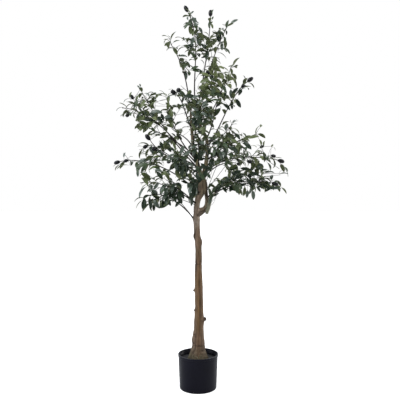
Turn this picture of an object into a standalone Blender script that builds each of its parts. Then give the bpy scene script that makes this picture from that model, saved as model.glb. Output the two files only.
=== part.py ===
"""An artificial olive tree in a nursery pot, as separate closed solids.

Metres, +Z up. The origin is the centre of the pot's underside. The tree's front faces -Y,
its left is -X and its right is +X.

The pot is a turned shell with a cast filling that weights it. A trunk stands in the filling
and forks into two boughs that cross. Wired sprays are set into the trunk and the boughs:
each has one stem, side twigs, leaves in pairs, and at some tips an olive.
"""

import math
import random
from dataclasses import dataclass

import bmesh
import bpy
from mathutils import Matrix, Quaternion, Vector
from mathutils.bvhtree import BVHTree
from mathutils.kdtree import KDTree

UP = Vector((0, 0, 1))

# Whole tree
TREE_HEIGHT = 1.600
GAP = 0.0003  # clear space between neighbouring solids

# Pot and its filling
POT_HEIGHT = 0.143
POT_RIM_RADIUS = 0.084
POT_BASE_RADIUS = 0.077
POT_BASE_ROUND = 0.005
RIM_DEPTH = 0.009
RIM_PROUD = 0.0012
RIM_CHAMFER = 0.001
RIM_DRAFT = 0.0002
POT_WALL = 0.0025
POT_FLOOR = 0.004
POT_SIDES = 36
FILL_TOP = 0.123

# Trunk and boughs: each station is height, x, y and radius
TRUNK_TOP = 0.760
TRUNK_STATIONS = (
    (0.114, 0.000, 0.000, 0.0455),
    (0.129, 0.000, 0.000, 0.0435),
    (0.143, 0.000, 0.000, 0.0400),
    (0.156, 0.000, 0.001, 0.0335),
    (0.172, 0.001, 0.001, 0.0285),
    (0.202, 0.001, 0.001, 0.0256),
    (0.250, 0.003, 0.000, 0.0214),
    (0.320, 0.004, -0.002, 0.0180),
    (0.410, 0.003, -0.003, 0.0170),
    (0.490, 0.001, -0.001, 0.0153),
    (0.550, 0.002, 0.001, 0.0137),
    (0.615, 0.000, 0.002, 0.0133),
    (0.645, -0.003, 0.002, 0.0124),
    (0.700, -0.007, 0.001, 0.0138),
    (0.770, -0.006, 0.000, 0.0125),
)
LEADING_STATIONS = (
    (0.750, -0.006, 0.000, 0.0125),
    (0.798, -0.001, 0.003, 0.0114),
    (0.838, 0.010, 0.009, 0.0113),
    (0.882, 0.021, 0.012, 0.0104),
    (0.941, 0.033, 0.011, 0.0086),
    (1.000, 0.039, 0.008, 0.0075),
    (1.050, 0.033, 0.006, 0.0066),
    (1.097, 0.010, 0.006, 0.0058),
    (1.151, 0.000, 0.007, 0.0050),
    (1.200, -0.006, 0.006, 0.0041),
)
ELBOW_STATIONS = (
    (0.743, -0.006, -0.001, 0.0105),
    (0.748, 0.020, -0.002, 0.0084),
    (0.765, 0.034, -0.004, 0.0072),
    (0.796, 0.035, -0.007, 0.0068),
    (0.840, 0.028, -0.013, 0.0090),
    (0.887, 0.012, -0.015, 0.0098),
    (0.941, -0.003, -0.013, 0.0086),
    (0.996, -0.019, -0.010, 0.0075),
    (1.055, -0.024, -0.010, 0.0065),
    (1.118, -0.030, -0.012, 0.0055),
    (1.168, -0.030, -0.014, 0.0045),
)
TRUNK_RINGS = 22
TRUNK_SIDES = 12
BOUGH_RINGS = 20
BOUGH_SIDES = 9

# Knots in the trunk: height, the side they face in degrees, and how far they stand proud
KNOTS = (
    (0.206, 185, 0.0035),
    (0.289, 12, 0.0095),
    (0.325, 170, 0.0030),
    (0.409, 190, 0.0065),
    (0.520, 265, 0.0030),
    (0.611, 350, 0.0040),
    (0.635, 180, 0.0045),
)
KNOT_RADIUS = 0.011

# Wired sprays
STEM_RADIUS = 0.0030
STEM_TIP_RADIUS = 0.0020
TWIG_RADIUS = 0.0017
TWIG_TIP_RADIUS = 0.0013
WIRE_SIDES = 3
STEM_RINGS = 6
TWIG_RINGS = 3
TWIG_ANGLE = 38
TWIG_THINNING = 0.45  # how much shorter, as a share, the highest twig is than the lowest
TWIG_TOP = 0.94  # share of the stem that twigs are spread up to
GOLDEN_ANGLE = 137.5
LEAF_LENGTH = 0.062
LEAF_WIDTH = 0.0235
KEEL_DEPTH = 0.0020
KEEL_PLACE = 0.25  # share of the leaf from its root to the deepest part of its keel
LEAF_WAIST = 0.44
LEAF_BOW = 0.05
LEAF_ANGLE = 52
LEAF_DROOP = 0.5
LEAF_ROLL = 75
LEAF_SPACING = 0.060
TWIG_BARE = 0.3  # share of a twig below its first leaves
LEAF_SHIFTS = (0, 40, -40)  # ways about its wire that a leaf may move to find room
FRUIT_LENGTH = 0.027
FRUIT_WIDTH = 0.017
FRUIT_DROOP = 0.15
ROOT_APART = 0.0001  # from a wire's middle to the root of each leaf of a pair
SEATING_STEPS = 10  # moves that bring a stem up to its limb
SUNK = 0.0015  # how far a tip leaf or an olive takes in the end of its wire
TURNS = (0, 10, -10, 20, -20, 32, -32, 46, -46, 62, -62)  # ways a stem may leave, to pass others
CLEARANCE = 0.0010  # room kept round a twig or a leaf of another spray


@dataclass(frozen=True)
class Spray:
    """One wired spray: where its stem leaves a limb, where it ends, and how full it is.

    leave and end are the stem's slopes in degrees at its foot and its tip, bare is the share
    of the stem below its first twig, and fruits is how many of its tips end in an olive.
    """

    name: str
    limb: str
    height: float
    tip: tuple
    leave: float
    end: float
    bare: float
    twigs: int
    fruits: int
    seed: int
    spread: float = 0.25  # its lowest twig's length over its stem's


TOP_FRUIT_ROOM = 0.0245  # from the highest stem's tip to the top of its olive
SPRAYS = (
    Spray("spray_top_left", "bough_left", 1.160, (-0.115, 0.03, 1.447), 88, 55, 0.26, 3, 0, 3, 0.13),
    Spray("spray_top_centre", "bough_leading", 1.192, (-0.043, 0.00, TREE_HEIGHT - TOP_FRUIT_ROOM),
          84, 62, 0.22, 6, 2, 5, 0.12),
    Spray("spray_top_right", "bough_leading", 1.180, (0.051, -0.03, 1.545), 80, 88, 0.30, 4, 1, 8, 0.12),
    Spray("spray_top_far_right", "bough_leading", 1.150, (0.124, 0.05, 1.529), 80, 62, 0.46, 4, 0, 9, 0.15),
    Spray("spray_crest_front", "bough_leading", 1.110, (0.062, -0.12, 1.316), 60, 80, 0.28, 4, 1, 11, 0.22),
    Spray("spray_crest_inner", "bough_leading", 1.050, (0.095, -0.05, 1.236), 55, 60, 0.25, 4, 0, 14),
    Spray("spray_crest_right", "bough_leading", 1.090, (0.143, 0.08, 1.365), 58, 70, 0.36, 4, 0, 13, 0.16),
    Spray("spray_high_right", "bough_leading", 1.020, (0.198, 0.00, 1.278), 56, 40, 0.40, 3, 2, 16, 0.14),
    Spray("spray_crest_left", "bough_left", 1.095, (-0.080, -0.10, 1.214), 50, 15, 0.30, 4, 2, 17, 0.20),
    Spray("spray_high_left", "bough_left", 0.930, (-0.249, 0.03, 1.263), 46, 62, 0.42, 4, 1, 20, 0.15),
    Spray("spray_far_high_left", "bough_left", 0.950, (-0.313, -0.04, 1.165), 46, 2, 0.38, 4, 2, 21, 0.18),
    Spray("spray_side_left", "bough_left", 0.980, (-0.240, 0.00, 1.100), 40, 20, 0.40, 3, 0, 22, 0.22),
    Spray("spray_upright_left", "bough_left", 0.965, (-0.133, 0.08, 1.235), 42, 88, 0.36, 4, 0, 23, 0.13),
    Spray("spray_middle_left", "bough_left", 0.900, (-0.196, -0.06, 1.031), 34, 58, 0.34, 4, 2, 24, 0.24),
    Spray("spray_inner_left", "bough_leading", 0.835, (-0.160, -0.14, 0.985), 45, 10, 0.26, 5, 1, 26),
    Spray("spray_far_left", "bough_leading", 0.825, (-0.322, 0.02, 0.948), 44, -12, 0.36, 5, 2, 27),
    Spray("spray_low_left", "trunk", 0.712, (-0.213, -0.05, 0.798), 58, -34, 0.38, 4, 0, 29),
    Spray("spray_low_front_left", "bough_leading", 0.795, (-0.120, -0.15, 0.835), 45, -15, 0.30, 4, 0, 30),
    Spray("spray_low_back_left", "bough_leading", 0.775, (-0.255, 0.10, 0.861), 36, -10, 0.38, 4, 0, 31),
    Spray("spray_far_right", "bough_leading", 0.905, (0.340, 0.03, 0.956), 48, -10, 0.32, 4, 3, 33),
    Spray("spray_low_far_right", "bough_left", 0.800, (0.303, -0.05, 0.856), 48, -10, 0.34, 5, 1, 35),
    Spray("spray_middle_right", "bough_leading", 0.960, (0.241, -0.04, 1.058), 44, 20, 0.26, 5, 0, 37, 0.22),
    Spray("spray_back_right", "bough_leading", 0.990, (0.150, 0.12, 1.123), 52, 50, 0.32, 4, 0, 39),
    Spray("spray_low_right", "bough_left", 0.790, (0.285, 0.09, 0.862), 44, 0, 0.36, 4, 1, 41),
    Spray("spray_low_front_right", "bough_left", 0.765, (0.140, -0.12, 0.860), 56, -12, 0.26, 5, 0, 43),
    Spray("spray_front_left", "bough_left", 0.905, (-0.081, -0.22, 0.945), 36, 8, 0.28, 4, 1, 45),
    Spray("spray_front_centre", "bough_left", 0.925, (0.004, -0.17, 1.010), 40, 15, 0.20, 5, 0, 47),
    Spray("spray_front_crest", "bough_left", 1.020, (0.012, -0.15, 1.150), 48, 30, 0.24, 4, 1, 48),
    Spray("spray_front_right", "bough_leading", 0.945, (0.095, -0.21, 1.000), 42, 8, 0.30, 4, 1, 49),
    Spray("spray_front_low", "bough_leading", 0.815, (-0.030, -0.19, 0.850), 40, -12, 0.26, 4, 0, 51),
    Spray("spray_back_low_left", "bough_leading", 0.860, (-0.130, 0.22, 0.965), 40, 0, 0.32, 4, 1, 53),
    Spray("spray_back_low_right", "bough_leading", 0.880, (0.180, 0.21, 0.955), 44, -5, 0.32, 4, 1, 55),
    Spray("spray_back_high", "bough_leading", 1.060, (0.020, 0.18, 1.225), 48, 34, 0.28, 4, 1, 57, 0.22),
    Spray("spray_back_low", "trunk", 0.735, (0.010, 0.24, 0.850), 50, -10, 0.36, 3, 0, 59),
    Spray("spray_back_left", "bough_left", 1.010, (-0.120, 0.17, 1.110), 46, 30, 0.32, 4, 0, 61),
)


# ---------------------------------------------------------------- finishes


def finish(name, color, roughness, metallic=0.0):
    """A plain Principled finish."""
    material = bpy.data.materials.new(name)
    material.use_nodes = True
    shader = material.node_tree.nodes["Principled BSDF"]
    shader.inputs["Base Color"].default_value = (*color, 1)
    shader.inputs["Roughness"].default_value = roughness
    shader.inputs["Metallic"].default_value = metallic
    material.diffuse_color = (*color, 1)
    return material


def black_plastic():
    return finish("black_plastic", (0.012, 0.012, 0.016), 0.42)


def cast_filling():
    return finish("cast_filling", (0.03, 0.03, 0.032), 0.9)


def trunk_bark():
    return finish("trunk_bark", (0.15, 0.095, 0.055), 0.85)


def bough_bark():
    return finish("bough_bark", (0.17, 0.115, 0.075), 0.85)


def wire_wrap():
    return finish("wire_wrap", (0.045, 0.034, 0.028), 0.7)


def leaf_green():
    return finish("leaf_green", (0.055, 0.095, 0.045), 0.55)


def olive_black():
    return finish("olive_black", (0.008, 0.009, 0.012), 0.3)


# ---------------------------------------------------------------- lines


def smooth_line(stations, count):
    """count points spread evenly along a smooth curve through the stations, end to end."""
    knots = [Vector(station) for station in stations]
    knots = [2 * knots[0] - knots[1], *knots, 2 * knots[-1] - knots[-2]]
    spans = len(knots) - 3
    line = []
    for step in range(count):
        place = step / (count - 1) * spans
        span = min(int(place), spans - 1)
        t = place - span
        a, b, c, d = knots[span : span + 4]
        bend = 2 * a - 5 * b + 4 * c - d
        turn = 3 * b - a - 3 * c + d
        line.append((2 * b + (c - a) * t + bend * t**2 + turn * t**3) / 2)
    return line


def arc_line(foot, tip, leave, end, count):
    """count points from foot to tip that start along one direction and finish along another."""
    handle = (tip - foot).length / 3
    near = foot + handle * leave
    far = tip - handle * end
    line = []
    for step in range(count):
        t = step / (count - 1)
        s = 1 - t
        line.append(s**3 * foot + 3 * s**2 * t * near + 3 * s * t**2 * far + t**3 * tip)
    return line


def point_on(line, share):
    """The point at a share of the way along a line, and the line's direction there."""
    place = min(max(share, 0), 1) * (len(line) - 1)
    span = min(int(place), len(line) - 2)
    start, stop = line[span], line[span + 1]
    return start.lerp(stop, place - span), (stop - start).normalized()


def line_length(line):
    return sum((b - a).length for a, b in zip(line, line[1:]))


def taper(first, last, count):
    return [first + (last - first) * step / (count - 1) for step in range(count)]


def slope_direction(heading, degrees):
    """A level heading tipped up by an angle."""
    angle = math.radians(degrees)
    return math.cos(angle) * heading + math.sin(angle) * UP


def sideways(direction):
    """A level direction square to the given one."""
    side = direction.cross(UP)
    return side.normalized() if side.length > 0.05 else Vector((1, 0, 0))


# ---------------------------------------------------------------- shapes


def bent_tube(line, radii, sides):
    """A closed tapering tube: a round primitive cut into rings, each carried to its place on the line."""
    shape = bmesh.new()
    bmesh.ops.create_cone(shape, cap_ends=True, segments=sides, radius1=1, radius2=1, depth=1)
    long_edges = [e for e in shape.edges if abs(e.verts[0].co.z - e.verts[1].co.z) > 0.5]
    bmesh.ops.subdivide_edges(shape, edges=long_edges, cuts=len(line) - 2, use_grid_fill=True)
    across = []
    heading = (line[1] - line[0]).normalized()
    side = heading.orthogonal().normalized()
    for ring in range(len(line)):
        after = line[min(ring + 1, len(line) - 1)]
        before = line[max(ring - 1, 0)]
        turned = (after - before).normalized()
        side = heading.rotation_difference(turned) @ side
        heading = turned
        across.append((side, heading.cross(side)))
    for vert in shape.verts:
        ring = round((vert.co.z + 0.5) * (len(line) - 1))
        first, second = across[ring]
        vert.co = line[ring] + radii[ring] * (vert.co.x * first + vert.co.y * second)
    return shape


def leaf_blade(root, along, face, length, margin=0.0):
    """A six-faced leaf with a keel below, widest at its waist and bowed there towards its face."""
    shape = bmesh.new()
    bmesh.ops.create_uvsphere(shape, u_segments=3, v_segments=2, radius=1)
    side = face.cross(along)
    half_width = LEAF_WIDTH / 2 * length / LEAF_LENGTH + margin
    bow = LEAF_BOW * length
    for vert in shape.verts:
        x, y, z = vert.co
        if z > 0.5:
            vert.co = root + (length + margin) * along
        elif z < -0.5:
            vert.co = root.copy()
        elif y > 0.5:
            drop = KEEL_DEPTH + margin - bow * KEEL_PLACE / LEAF_WAIST
            vert.co = root + KEEL_PLACE * length * along - drop * face
        else:
            edge = math.copysign(half_width, x) * side
            vert.co = root + LEAF_WAIST * length * along + edge + (bow + margin) * face
    return shape


def olive_fruit(stalk_end, along, margin=0.0):
    """An olive whose foot takes in the end of its stalk."""
    shape = bmesh.new()
    bmesh.ops.create_uvsphere(shape, u_segments=5, v_segments=4, radius=1)
    turn = UP.rotation_difference(along).to_matrix()
    centre = stalk_end + (FRUIT_LENGTH / 2 - SUNK) * along
    size = Matrix.Diagonal((FRUIT_WIDTH / 2 + margin,) * 2 + (FRUIT_LENGTH / 2 + margin,))
    for vert in shape.verts:
        vert.co = centre + turn @ size @ vert.co
    return shape


def object_from(shape, name, material, collection):
    """Puts a bmesh into a collection as a named object."""
    mesh = bpy.data.meshes.new(name)
    shape.normal_update()
    shape.to_mesh(mesh)
    shape.free()
    mesh.materials.append(material)
    placed = bpy.data.objects.new(name, mesh)
    collection.objects.link(placed)
    return placed


def new_collection(name, parent):
    collection = bpy.data.collections.new(name)
    parent.children.link(collection)
    return collection


def apply_modifiers(placed):
    """Replaces an object's mesh with what its modifiers make of it."""
    graph = bpy.context.evaluated_depsgraph_get()
    made = bpy.data.meshes.new_from_object(placed.evaluated_get(graph))
    placed.modifiers.clear()
    placed.data = made


def keep_main_body(placed):
    """Drops loose scraps and the walls of sealed hollows, and keeps the largest shell."""
    shape = bmesh.new()
    shape.from_mesh(placed.data)
    waiting = set(shape.verts)
    shells = []
    while waiting:
        shell = set()
        front = {waiting.pop()}
        while front:
            shell |= front
            front = {e.other_vert(v) for v in front for e in v.link_edges} - shell
        waiting -= shell
        shells.append(shell)
    shells.sort(key=len)
    for shell in shells[:-1]:
        bmesh.ops.delete(shape, geom=list(shell), context="VERTS")
    shape.to_mesh(placed.data)
    shape.free()


def fuse(placed, pieces):
    """Joins a collection of pieces to an object as one closed solid, and removes the collection."""
    union = placed.modifiers.new("fused", "BOOLEAN")
    union.operation = "UNION"
    union.operand_type = "COLLECTION"
    union.collection = pieces
    union.material_mode = "TRANSFER"
    apply_modifiers(placed)
    for piece in list(pieces.objects):
        bpy.data.objects.remove(piece)
    bpy.data.collections.remove(pieces)
    keep_main_body(placed)


def level_cut(shape, height, side):
    """Cuts a shape off flat at a height, and closes it. side is 1 to drop what is above, -1 below."""
    geometry = shape.verts[:] + shape.edges[:] + shape.faces[:]
    cut = bmesh.ops.bisect_plane(
        shape, geom=geometry, plane_co=height * UP, plane_no=side * UP, clear_outer=True
    )
    edges = [part for part in cut["geom_cut"] if isinstance(part, bmesh.types.BMEdge)]
    bmesh.ops.holes_fill(shape, edges=edges)


# ---------------------------------------------------------------- pot


def turned(name, profile, material, collection):
    """Turns a profile of radius and height pairs, which runs inner side first, about the Z axis."""
    mesh = bpy.data.meshes.new(name)
    points = [(radius, 0, height) for radius, height in profile]
    mesh.from_pydata(points, [(i, i + 1) for i in range(len(points) - 1)], [])
    mesh.materials.append(material)
    placed = bpy.data.objects.new(name, mesh)
    collection.objects.link(placed)
    screw = placed.modifiers.new("turned", "SCREW")
    screw.steps = POT_SIDES
    screw.render_steps = POT_SIDES
    screw.use_merge_vertices = True
    screw.merge_threshold = 0.0001
    screw.use_smooth_shade = True
    return placed


def wall_radius(height):
    """The pot's outer radius at a height, below its rim band."""
    top = POT_RIM_RADIUS - RIM_PROUD
    return POT_BASE_RADIUS + (top - POT_BASE_RADIUS) * height / POT_HEIGHT


def build_pot(collection):
    """A tapered shell with a flat underside, a rounded foot and a narrow band at the rim."""
    profile = [(0, POT_FLOOR), (wall_radius(POT_FLOOR) - POT_WALL, POT_FLOOR)]
    inner_rim = POT_RIM_RADIUS - RIM_PROUD - POT_WALL
    profile += [(inner_rim, POT_HEIGHT - RIM_CHAMFER), (inner_rim + RIM_CHAMFER, POT_HEIGHT)]
    profile += [(POT_RIM_RADIUS - RIM_CHAMFER, POT_HEIGHT), (POT_RIM_RADIUS, POT_HEIGHT - RIM_CHAMFER)]
    band_foot = POT_HEIGHT - RIM_DEPTH
    under_band = band_foot - RIM_CHAMFER
    profile += [(POT_RIM_RADIUS - RIM_DRAFT, band_foot), (wall_radius(under_band), under_band)]
    for degrees in (0, 30, 60, 90):
        angle = math.radians(degrees)
        radius = wall_radius(POT_BASE_ROUND) - POT_BASE_ROUND * (1 - math.cos(angle))
        profile.append((radius, POT_BASE_ROUND * (1 - math.sin(angle))))
    profile.append((0, 0))
    return turned("pot", profile, black_plastic(), collection)


def build_filling(collection):
    """The cast disc inside the pot, flat on top where the trunk stands."""
    foot = POT_FLOOR + GAP
    profile = [(0, FILL_TOP), (wall_radius(FILL_TOP) - POT_WALL - GAP, FILL_TOP)]
    profile += [(wall_radius(foot) - POT_WALL - GAP, foot), (0, foot)]
    return turned("pot_filling", profile, cast_filling(), collection)


# ---------------------------------------------------------------- trunk and boughs


class Limb:
    """A trunk or bough: its line, its radii, and its placed solid."""

    def __init__(self, stations, rings):
        line = smooth_line(stations, rings)
        self.line = [Vector((x, y, z)) for z, x, y, _ in line]
        self.radii = [radius for _, _, _, radius in line]
        self.placed = None

    def at(self, height):
        """The middle and the radius of the limb's highest crossing of a level plane."""
        for ring in range(len(self.line) - 2, -1, -1):
            low, high = self.line[ring], self.line[ring + 1]
            if low.z <= height <= high.z:
                share = (height - low.z) / (high.z - low.z)
                radius = self.radii[ring] + share * (self.radii[ring + 1] - self.radii[ring])
                return low.lerp(high, share), radius
        return self.line[-1], self.radii[-1]

    def tree(self):
        """The limb's surface, for measuring distances to it."""
        shape = bmesh.new()
        shape.from_mesh(self.placed.data)
        surface = BVHTree.FromBMesh(shape)
        shape.free()
        return surface


def build_trunk(collection):
    """The trunk, from its flared foot on the filling to its fork, with its knots fused on."""
    trunk = Limb(TRUNK_STATIONS, TRUNK_RINGS)
    shape = bent_tube(trunk.line, trunk.radii, TRUNK_SIDES)
    level_cut(shape, FILL_TOP + GAP, -1)
    level_cut(shape, TRUNK_TOP, 1)
    bark = trunk_bark()
    trunk.placed = object_from(shape, "trunk", bark, collection)
    knots = new_collection("knots", bpy.context.scene.collection)
    for height, facing, proud in KNOTS:
        middle, radius = trunk.at(height)
        outward = Quaternion(UP, math.radians(facing)) @ Vector((1, 0, 0))
        knot = bmesh.new()
        bmesh.ops.create_uvsphere(knot, u_segments=6, v_segments=4, radius=KNOT_RADIUS)
        bmesh.ops.translate(knot, verts=knot.verts, vec=middle + (radius + proud - KNOT_RADIUS) * outward)
        object_from(knot, "knot", bark, knots)
    fuse(trunk.placed, knots)
    return trunk


def build_leading_bough(collection):
    """The bough that carries the trunk's line on above the fork."""
    bough = Limb(LEADING_STATIONS, BOUGH_RINGS)
    shape = bent_tube(bough.line, bough.radii, BOUGH_SIDES)
    level_cut(shape, TRUNK_TOP + GAP, -1)
    bough.placed = object_from(shape, "bough_leading", bough_bark(), collection)
    return bough


def build_left_bough(trunk, collection, cutters):
    """The bough that leaves the trunk's right side at an elbow and crosses over to the left."""
    bough = Limb(ELBOW_STATIONS, BOUGH_RINGS)
    shape = bent_tube(bough.line, bough.radii, BOUGH_SIDES)
    bough.placed = object_from(shape, "bough_left", bough_bark(), collection)
    wider = [radius + 2 * GAP for radius in trunk.radii]
    cutter = object_from(
        bent_tube(trunk.line, wider, TRUNK_SIDES), "trunk_room", trunk.placed.data.materials[0], cutters
    )
    cutter.hide_render = True
    cutter.display_type = "WIRE"
    seat = bough.placed.modifiers.new("seat", "BOOLEAN")
    seat.operation = "DIFFERENCE"
    seat.object = cutter
    apply_modifiers(bough.placed)
    return bough


# ---------------------------------------------------------------- sprays


class Room:
    """The space that limbs, twigs, leaves and olives already fill."""

    def __init__(self):
        self.filled = []

    def fill(self, owner, whole, outer):
        """Notes a placed piece: all of it, and the part of it beyond its root."""
        self.filled.append((owner, *self.ball(whole), BVHTree.FromBMesh(whole), BVHTree.FromBMesh(outer)))

    def free(self, owner, whole, outer):
        """Whether a piece would touch nothing but what its root is set into."""
        middle, radius = self.ball(whole)
        whole_tree = BVHTree.FromBMesh(whole)
        outer_tree = BVHTree.FromBMesh(outer)
        for other, centre, reach, other_whole, other_outer in self.filled:
            if (centre - middle).length > reach + radius:
                continue
            touching = outer_tree.overlap(other_outer) if other == owner else whole_tree.overlap(other_whole)
            if touching:
                return False
        return True

    @staticmethod
    def ball(shape):
        """The middle and the radius of a ball round a shape."""
        middle = sum((vert.co for vert in shape.verts), Vector()) / len(shape.verts)
        return middle, max((vert.co - middle).length for vert in shape.verts)


class Spaces:
    """Which spray a place belongs to: the one whose leafy stem is nearest."""

    def __init__(self, stems):
        samples = [(name, point) for name, points in stems.items() for point in points]
        self.owners = [name for name, _ in samples]
        self.tree = KDTree(len(samples))
        for index, (_, point) in enumerate(samples):
            self.tree.insert(point, index)
        self.tree.balance()

    def owner(self, place):
        return self.owners[self.tree.find(place)[1]]


def stem_radii():
    return taper(STEM_RADIUS, STEM_TIP_RADIUS, STEM_RINGS)


def clear_space(shape, surface):
    """The least distance to a surface from points spread along a shape's edges."""
    points = [
        edge.verts[0].co.lerp(edge.verts[1].co, step / 5) for edge in shape.edges for step in range(6)
    ]
    return min(surface.find_nearest(point)[3] for point in points)


def seated_line(spray, limb, heading, end):
    """A stem's line, with its foot drawn up to one gap clear of the limb."""
    middle, radius = limb.at(spray.height)
    surface = limb.tree()
    foot = middle + (radius + 2 * STEM_RADIUS) * heading
    for _ in range(SEATING_STEPS):
        leave = slope_direction(heading, spray.leave)
        line = arc_line(foot, Vector(spray.tip), leave, end, STEM_RINGS)
        stub = bent_tube(line[:2], stem_radii()[:2], WIRE_SIDES)
        foot += (GAP - clear_space(stub, surface)) * heading
        stub.free()
    return line


def stem_line(spray, limb, room):
    """The line of a spray's stem, from its seat on the limb to its tip, past whatever is there."""
    middle, _ = limb.at(spray.height)
    straight = (Vector(spray.tip) - middle) * Vector((1, 1, 0))
    straight.normalize()
    end = slope_direction(straight, spray.end)
    wider = [radius + CLEARANCE for radius in stem_radii()]
    for turn in TURNS:
        line = seated_line(spray, limb, Quaternion(UP, math.radians(turn)) @ straight, end)
        bare = bent_tube(line, stem_radii(), WIRE_SIDES)
        whole = bent_tube(line, wider, WIRE_SIDES)
        outer = bent_tube(line[1:], wider[1:], WIRE_SIDES)
        if room.free(spray.limb, whole, outer) and room.free(spray.name, bare, bare):
            room.fill(spray.name, whole, outer)
            return line
    raise ValueError(f"{spray.name} finds no way past the others")


def twig_line(stem, share, turn, length, sag, tilt):
    """The line of a side twig that leaves the stem at an angle and bends under its own weight."""
    start, along = point_on(stem, share)
    side = Quaternion(along, math.radians(turn)) @ sideways(along)
    angle = math.radians(TWIG_ANGLE + tilt)
    heading = (math.cos(angle) * along + math.sin(angle) * side).normalized()
    tip = start + length * (heading - sag * UP).normalized()
    bent = (heading - 2 * sag * UP).normalized()
    return arc_line(start, tip, heading, bent, TWIG_RINGS)


def leaf_places(line, first, rng):
    """Where leaves grow on a wire: pairs up its length, and one at its tip.

    Each place is a root, the wire's direction, the leaf's turn about the wire and its angle
    from it in degrees, and its size.
    """
    count = max(1, round((1 - first) * line_length(line) / LEAF_SPACING))
    places = []
    turn = rng.uniform(0, 180)
    for pair in range(count):
        root, along = point_on(line, first + (1 - first) * (pair + 0.35) / count)
        for half in (0, 180):
            angle = LEAF_ANGLE + rng.uniform(-12, 12)
            places.append((root, along, turn + half, angle, rng.uniform(0.86, 1.1)))
        turn += 90 + rng.uniform(-25, 25)
    end, along = point_on(line, 1)
    places.append((end - SUNK * along, along, turn, 0, rng.uniform(0.8, 1.0)))
    return places


def leaf_direction(wire, turn, angle):
    """The way a leaf points, drooping a little from where it leaves its wire."""
    side = Quaternion(wire, math.radians(turn)) @ sideways(wire)
    tilt = math.radians(angle)
    return (math.cos(tilt) * wire + math.sin(tilt) * side - LEAF_DROOP * UP).normalized()


def leaf_face(along, roll):
    """The way a leaf faces: upwards, rolled about its length."""
    face = UP - UP.dot(along) * along
    if face.length < 0.1:
        face = along.orthogonal()
    face.normalize()
    return Quaternion(along, math.radians(roll)) @ face


def add_wire(owner, line, radii, material, pieces, room):
    """Adds a twig if it touches nothing. Returns whether it was added."""
    wider = [radius + CLEARANCE for radius in radii]
    whole = bent_tube(line, wider, WIRE_SIDES)
    outer = bent_tube(line[1:], wider[1:], WIRE_SIDES)
    fits = room.free(owner, whole, outer)
    if fits:
        room.fill(owner, whole, outer)
        object_from(bent_tube(line, radii, WIRE_SIDES), "twig", material, pieces)
    whole.free()
    outer.free()
    return fits


def add_leaf(owner, root, along, face, length, material, pieces, room):
    """Adds a leaf if it touches nothing but the wire its root is in. Returns whether it was added."""
    whole = leaf_blade(root, along, face, length, CLEARANCE)
    outer = leaf_blade(root + 0.25 * length * along, along, face, 0.75 * length, CLEARANCE)
    fits = room.free(owner, whole, outer)
    if fits:
        room.fill(owner, whole, outer)
        object_from(leaf_blade(root, along, face, length), "leaf", material, pieces)
    whole.free()
    outer.free()
    return fits


def add_leaves(owner, places, material, pieces, room, spaces, rng):
    """Adds a leaf at each place, turned about its wire until it fits, or leaves it out."""
    for root, wire, turn, angle, size in places:
        roll = rng.uniform(-LEAF_ROLL, LEAF_ROLL)
        length = size * LEAF_LENGTH
        for shift in LEAF_SHIFTS:
            along = leaf_direction(wire, turn + shift, angle)
            start = root + ROOT_APART * along
            if spaces.owner(root + 0.7 * length * along) != owner:
                continue
            if add_leaf(owner, start, along, leaf_face(along, roll), length, material, pieces, room):
                break


def add_fruit(owner, line, material, pieces, room):
    """Adds an olive at the end of a wire if it touches nothing else."""
    end, along = point_on(line, 1)
    along = (along - FRUIT_DROOP * UP).normalized()
    whole = olive_fruit(end, along, CLEARANCE)
    outer = olive_fruit(end + 0.3 * FRUIT_LENGTH * along, along)
    fits = room.free(owner, whole, outer)
    if fits:
        room.fill(owner, whole, outer)
        object_from(olive_fruit(end, along), "olive", material, pieces)
    whole.free()
    outer.free()
    return fits


def spray_twigs(spray, stem, rng):
    """The lines of a spray's side twigs, from its lowest to its highest."""
    length = line_length(stem)
    turn = rng.uniform(0, 360)
    lines = []
    for twig in range(spray.twigs):
        share = spray.bare + (TWIG_TOP - spray.bare) * twig / spray.twigs
        reach = spray.spread * length * (1.15 - TWIG_THINNING * twig / spray.twigs) * rng.uniform(0.85, 1.15)
        sag = rng.uniform(-0.12, 0.16)
        lines.append(twig_line(stem, share, turn, reach, sag, rng.uniform(-8, 8)))
        turn += GOLDEN_ANGLE + rng.uniform(-15, 15)
    return lines


def leafy_samples(spray, stem):
    """Places up the leafy part of a stem, which mark the spray's own space."""
    return [point_on(stem, spray.bare + (1 - spray.bare) * step / 8)[0] for step in range(9)]


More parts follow.
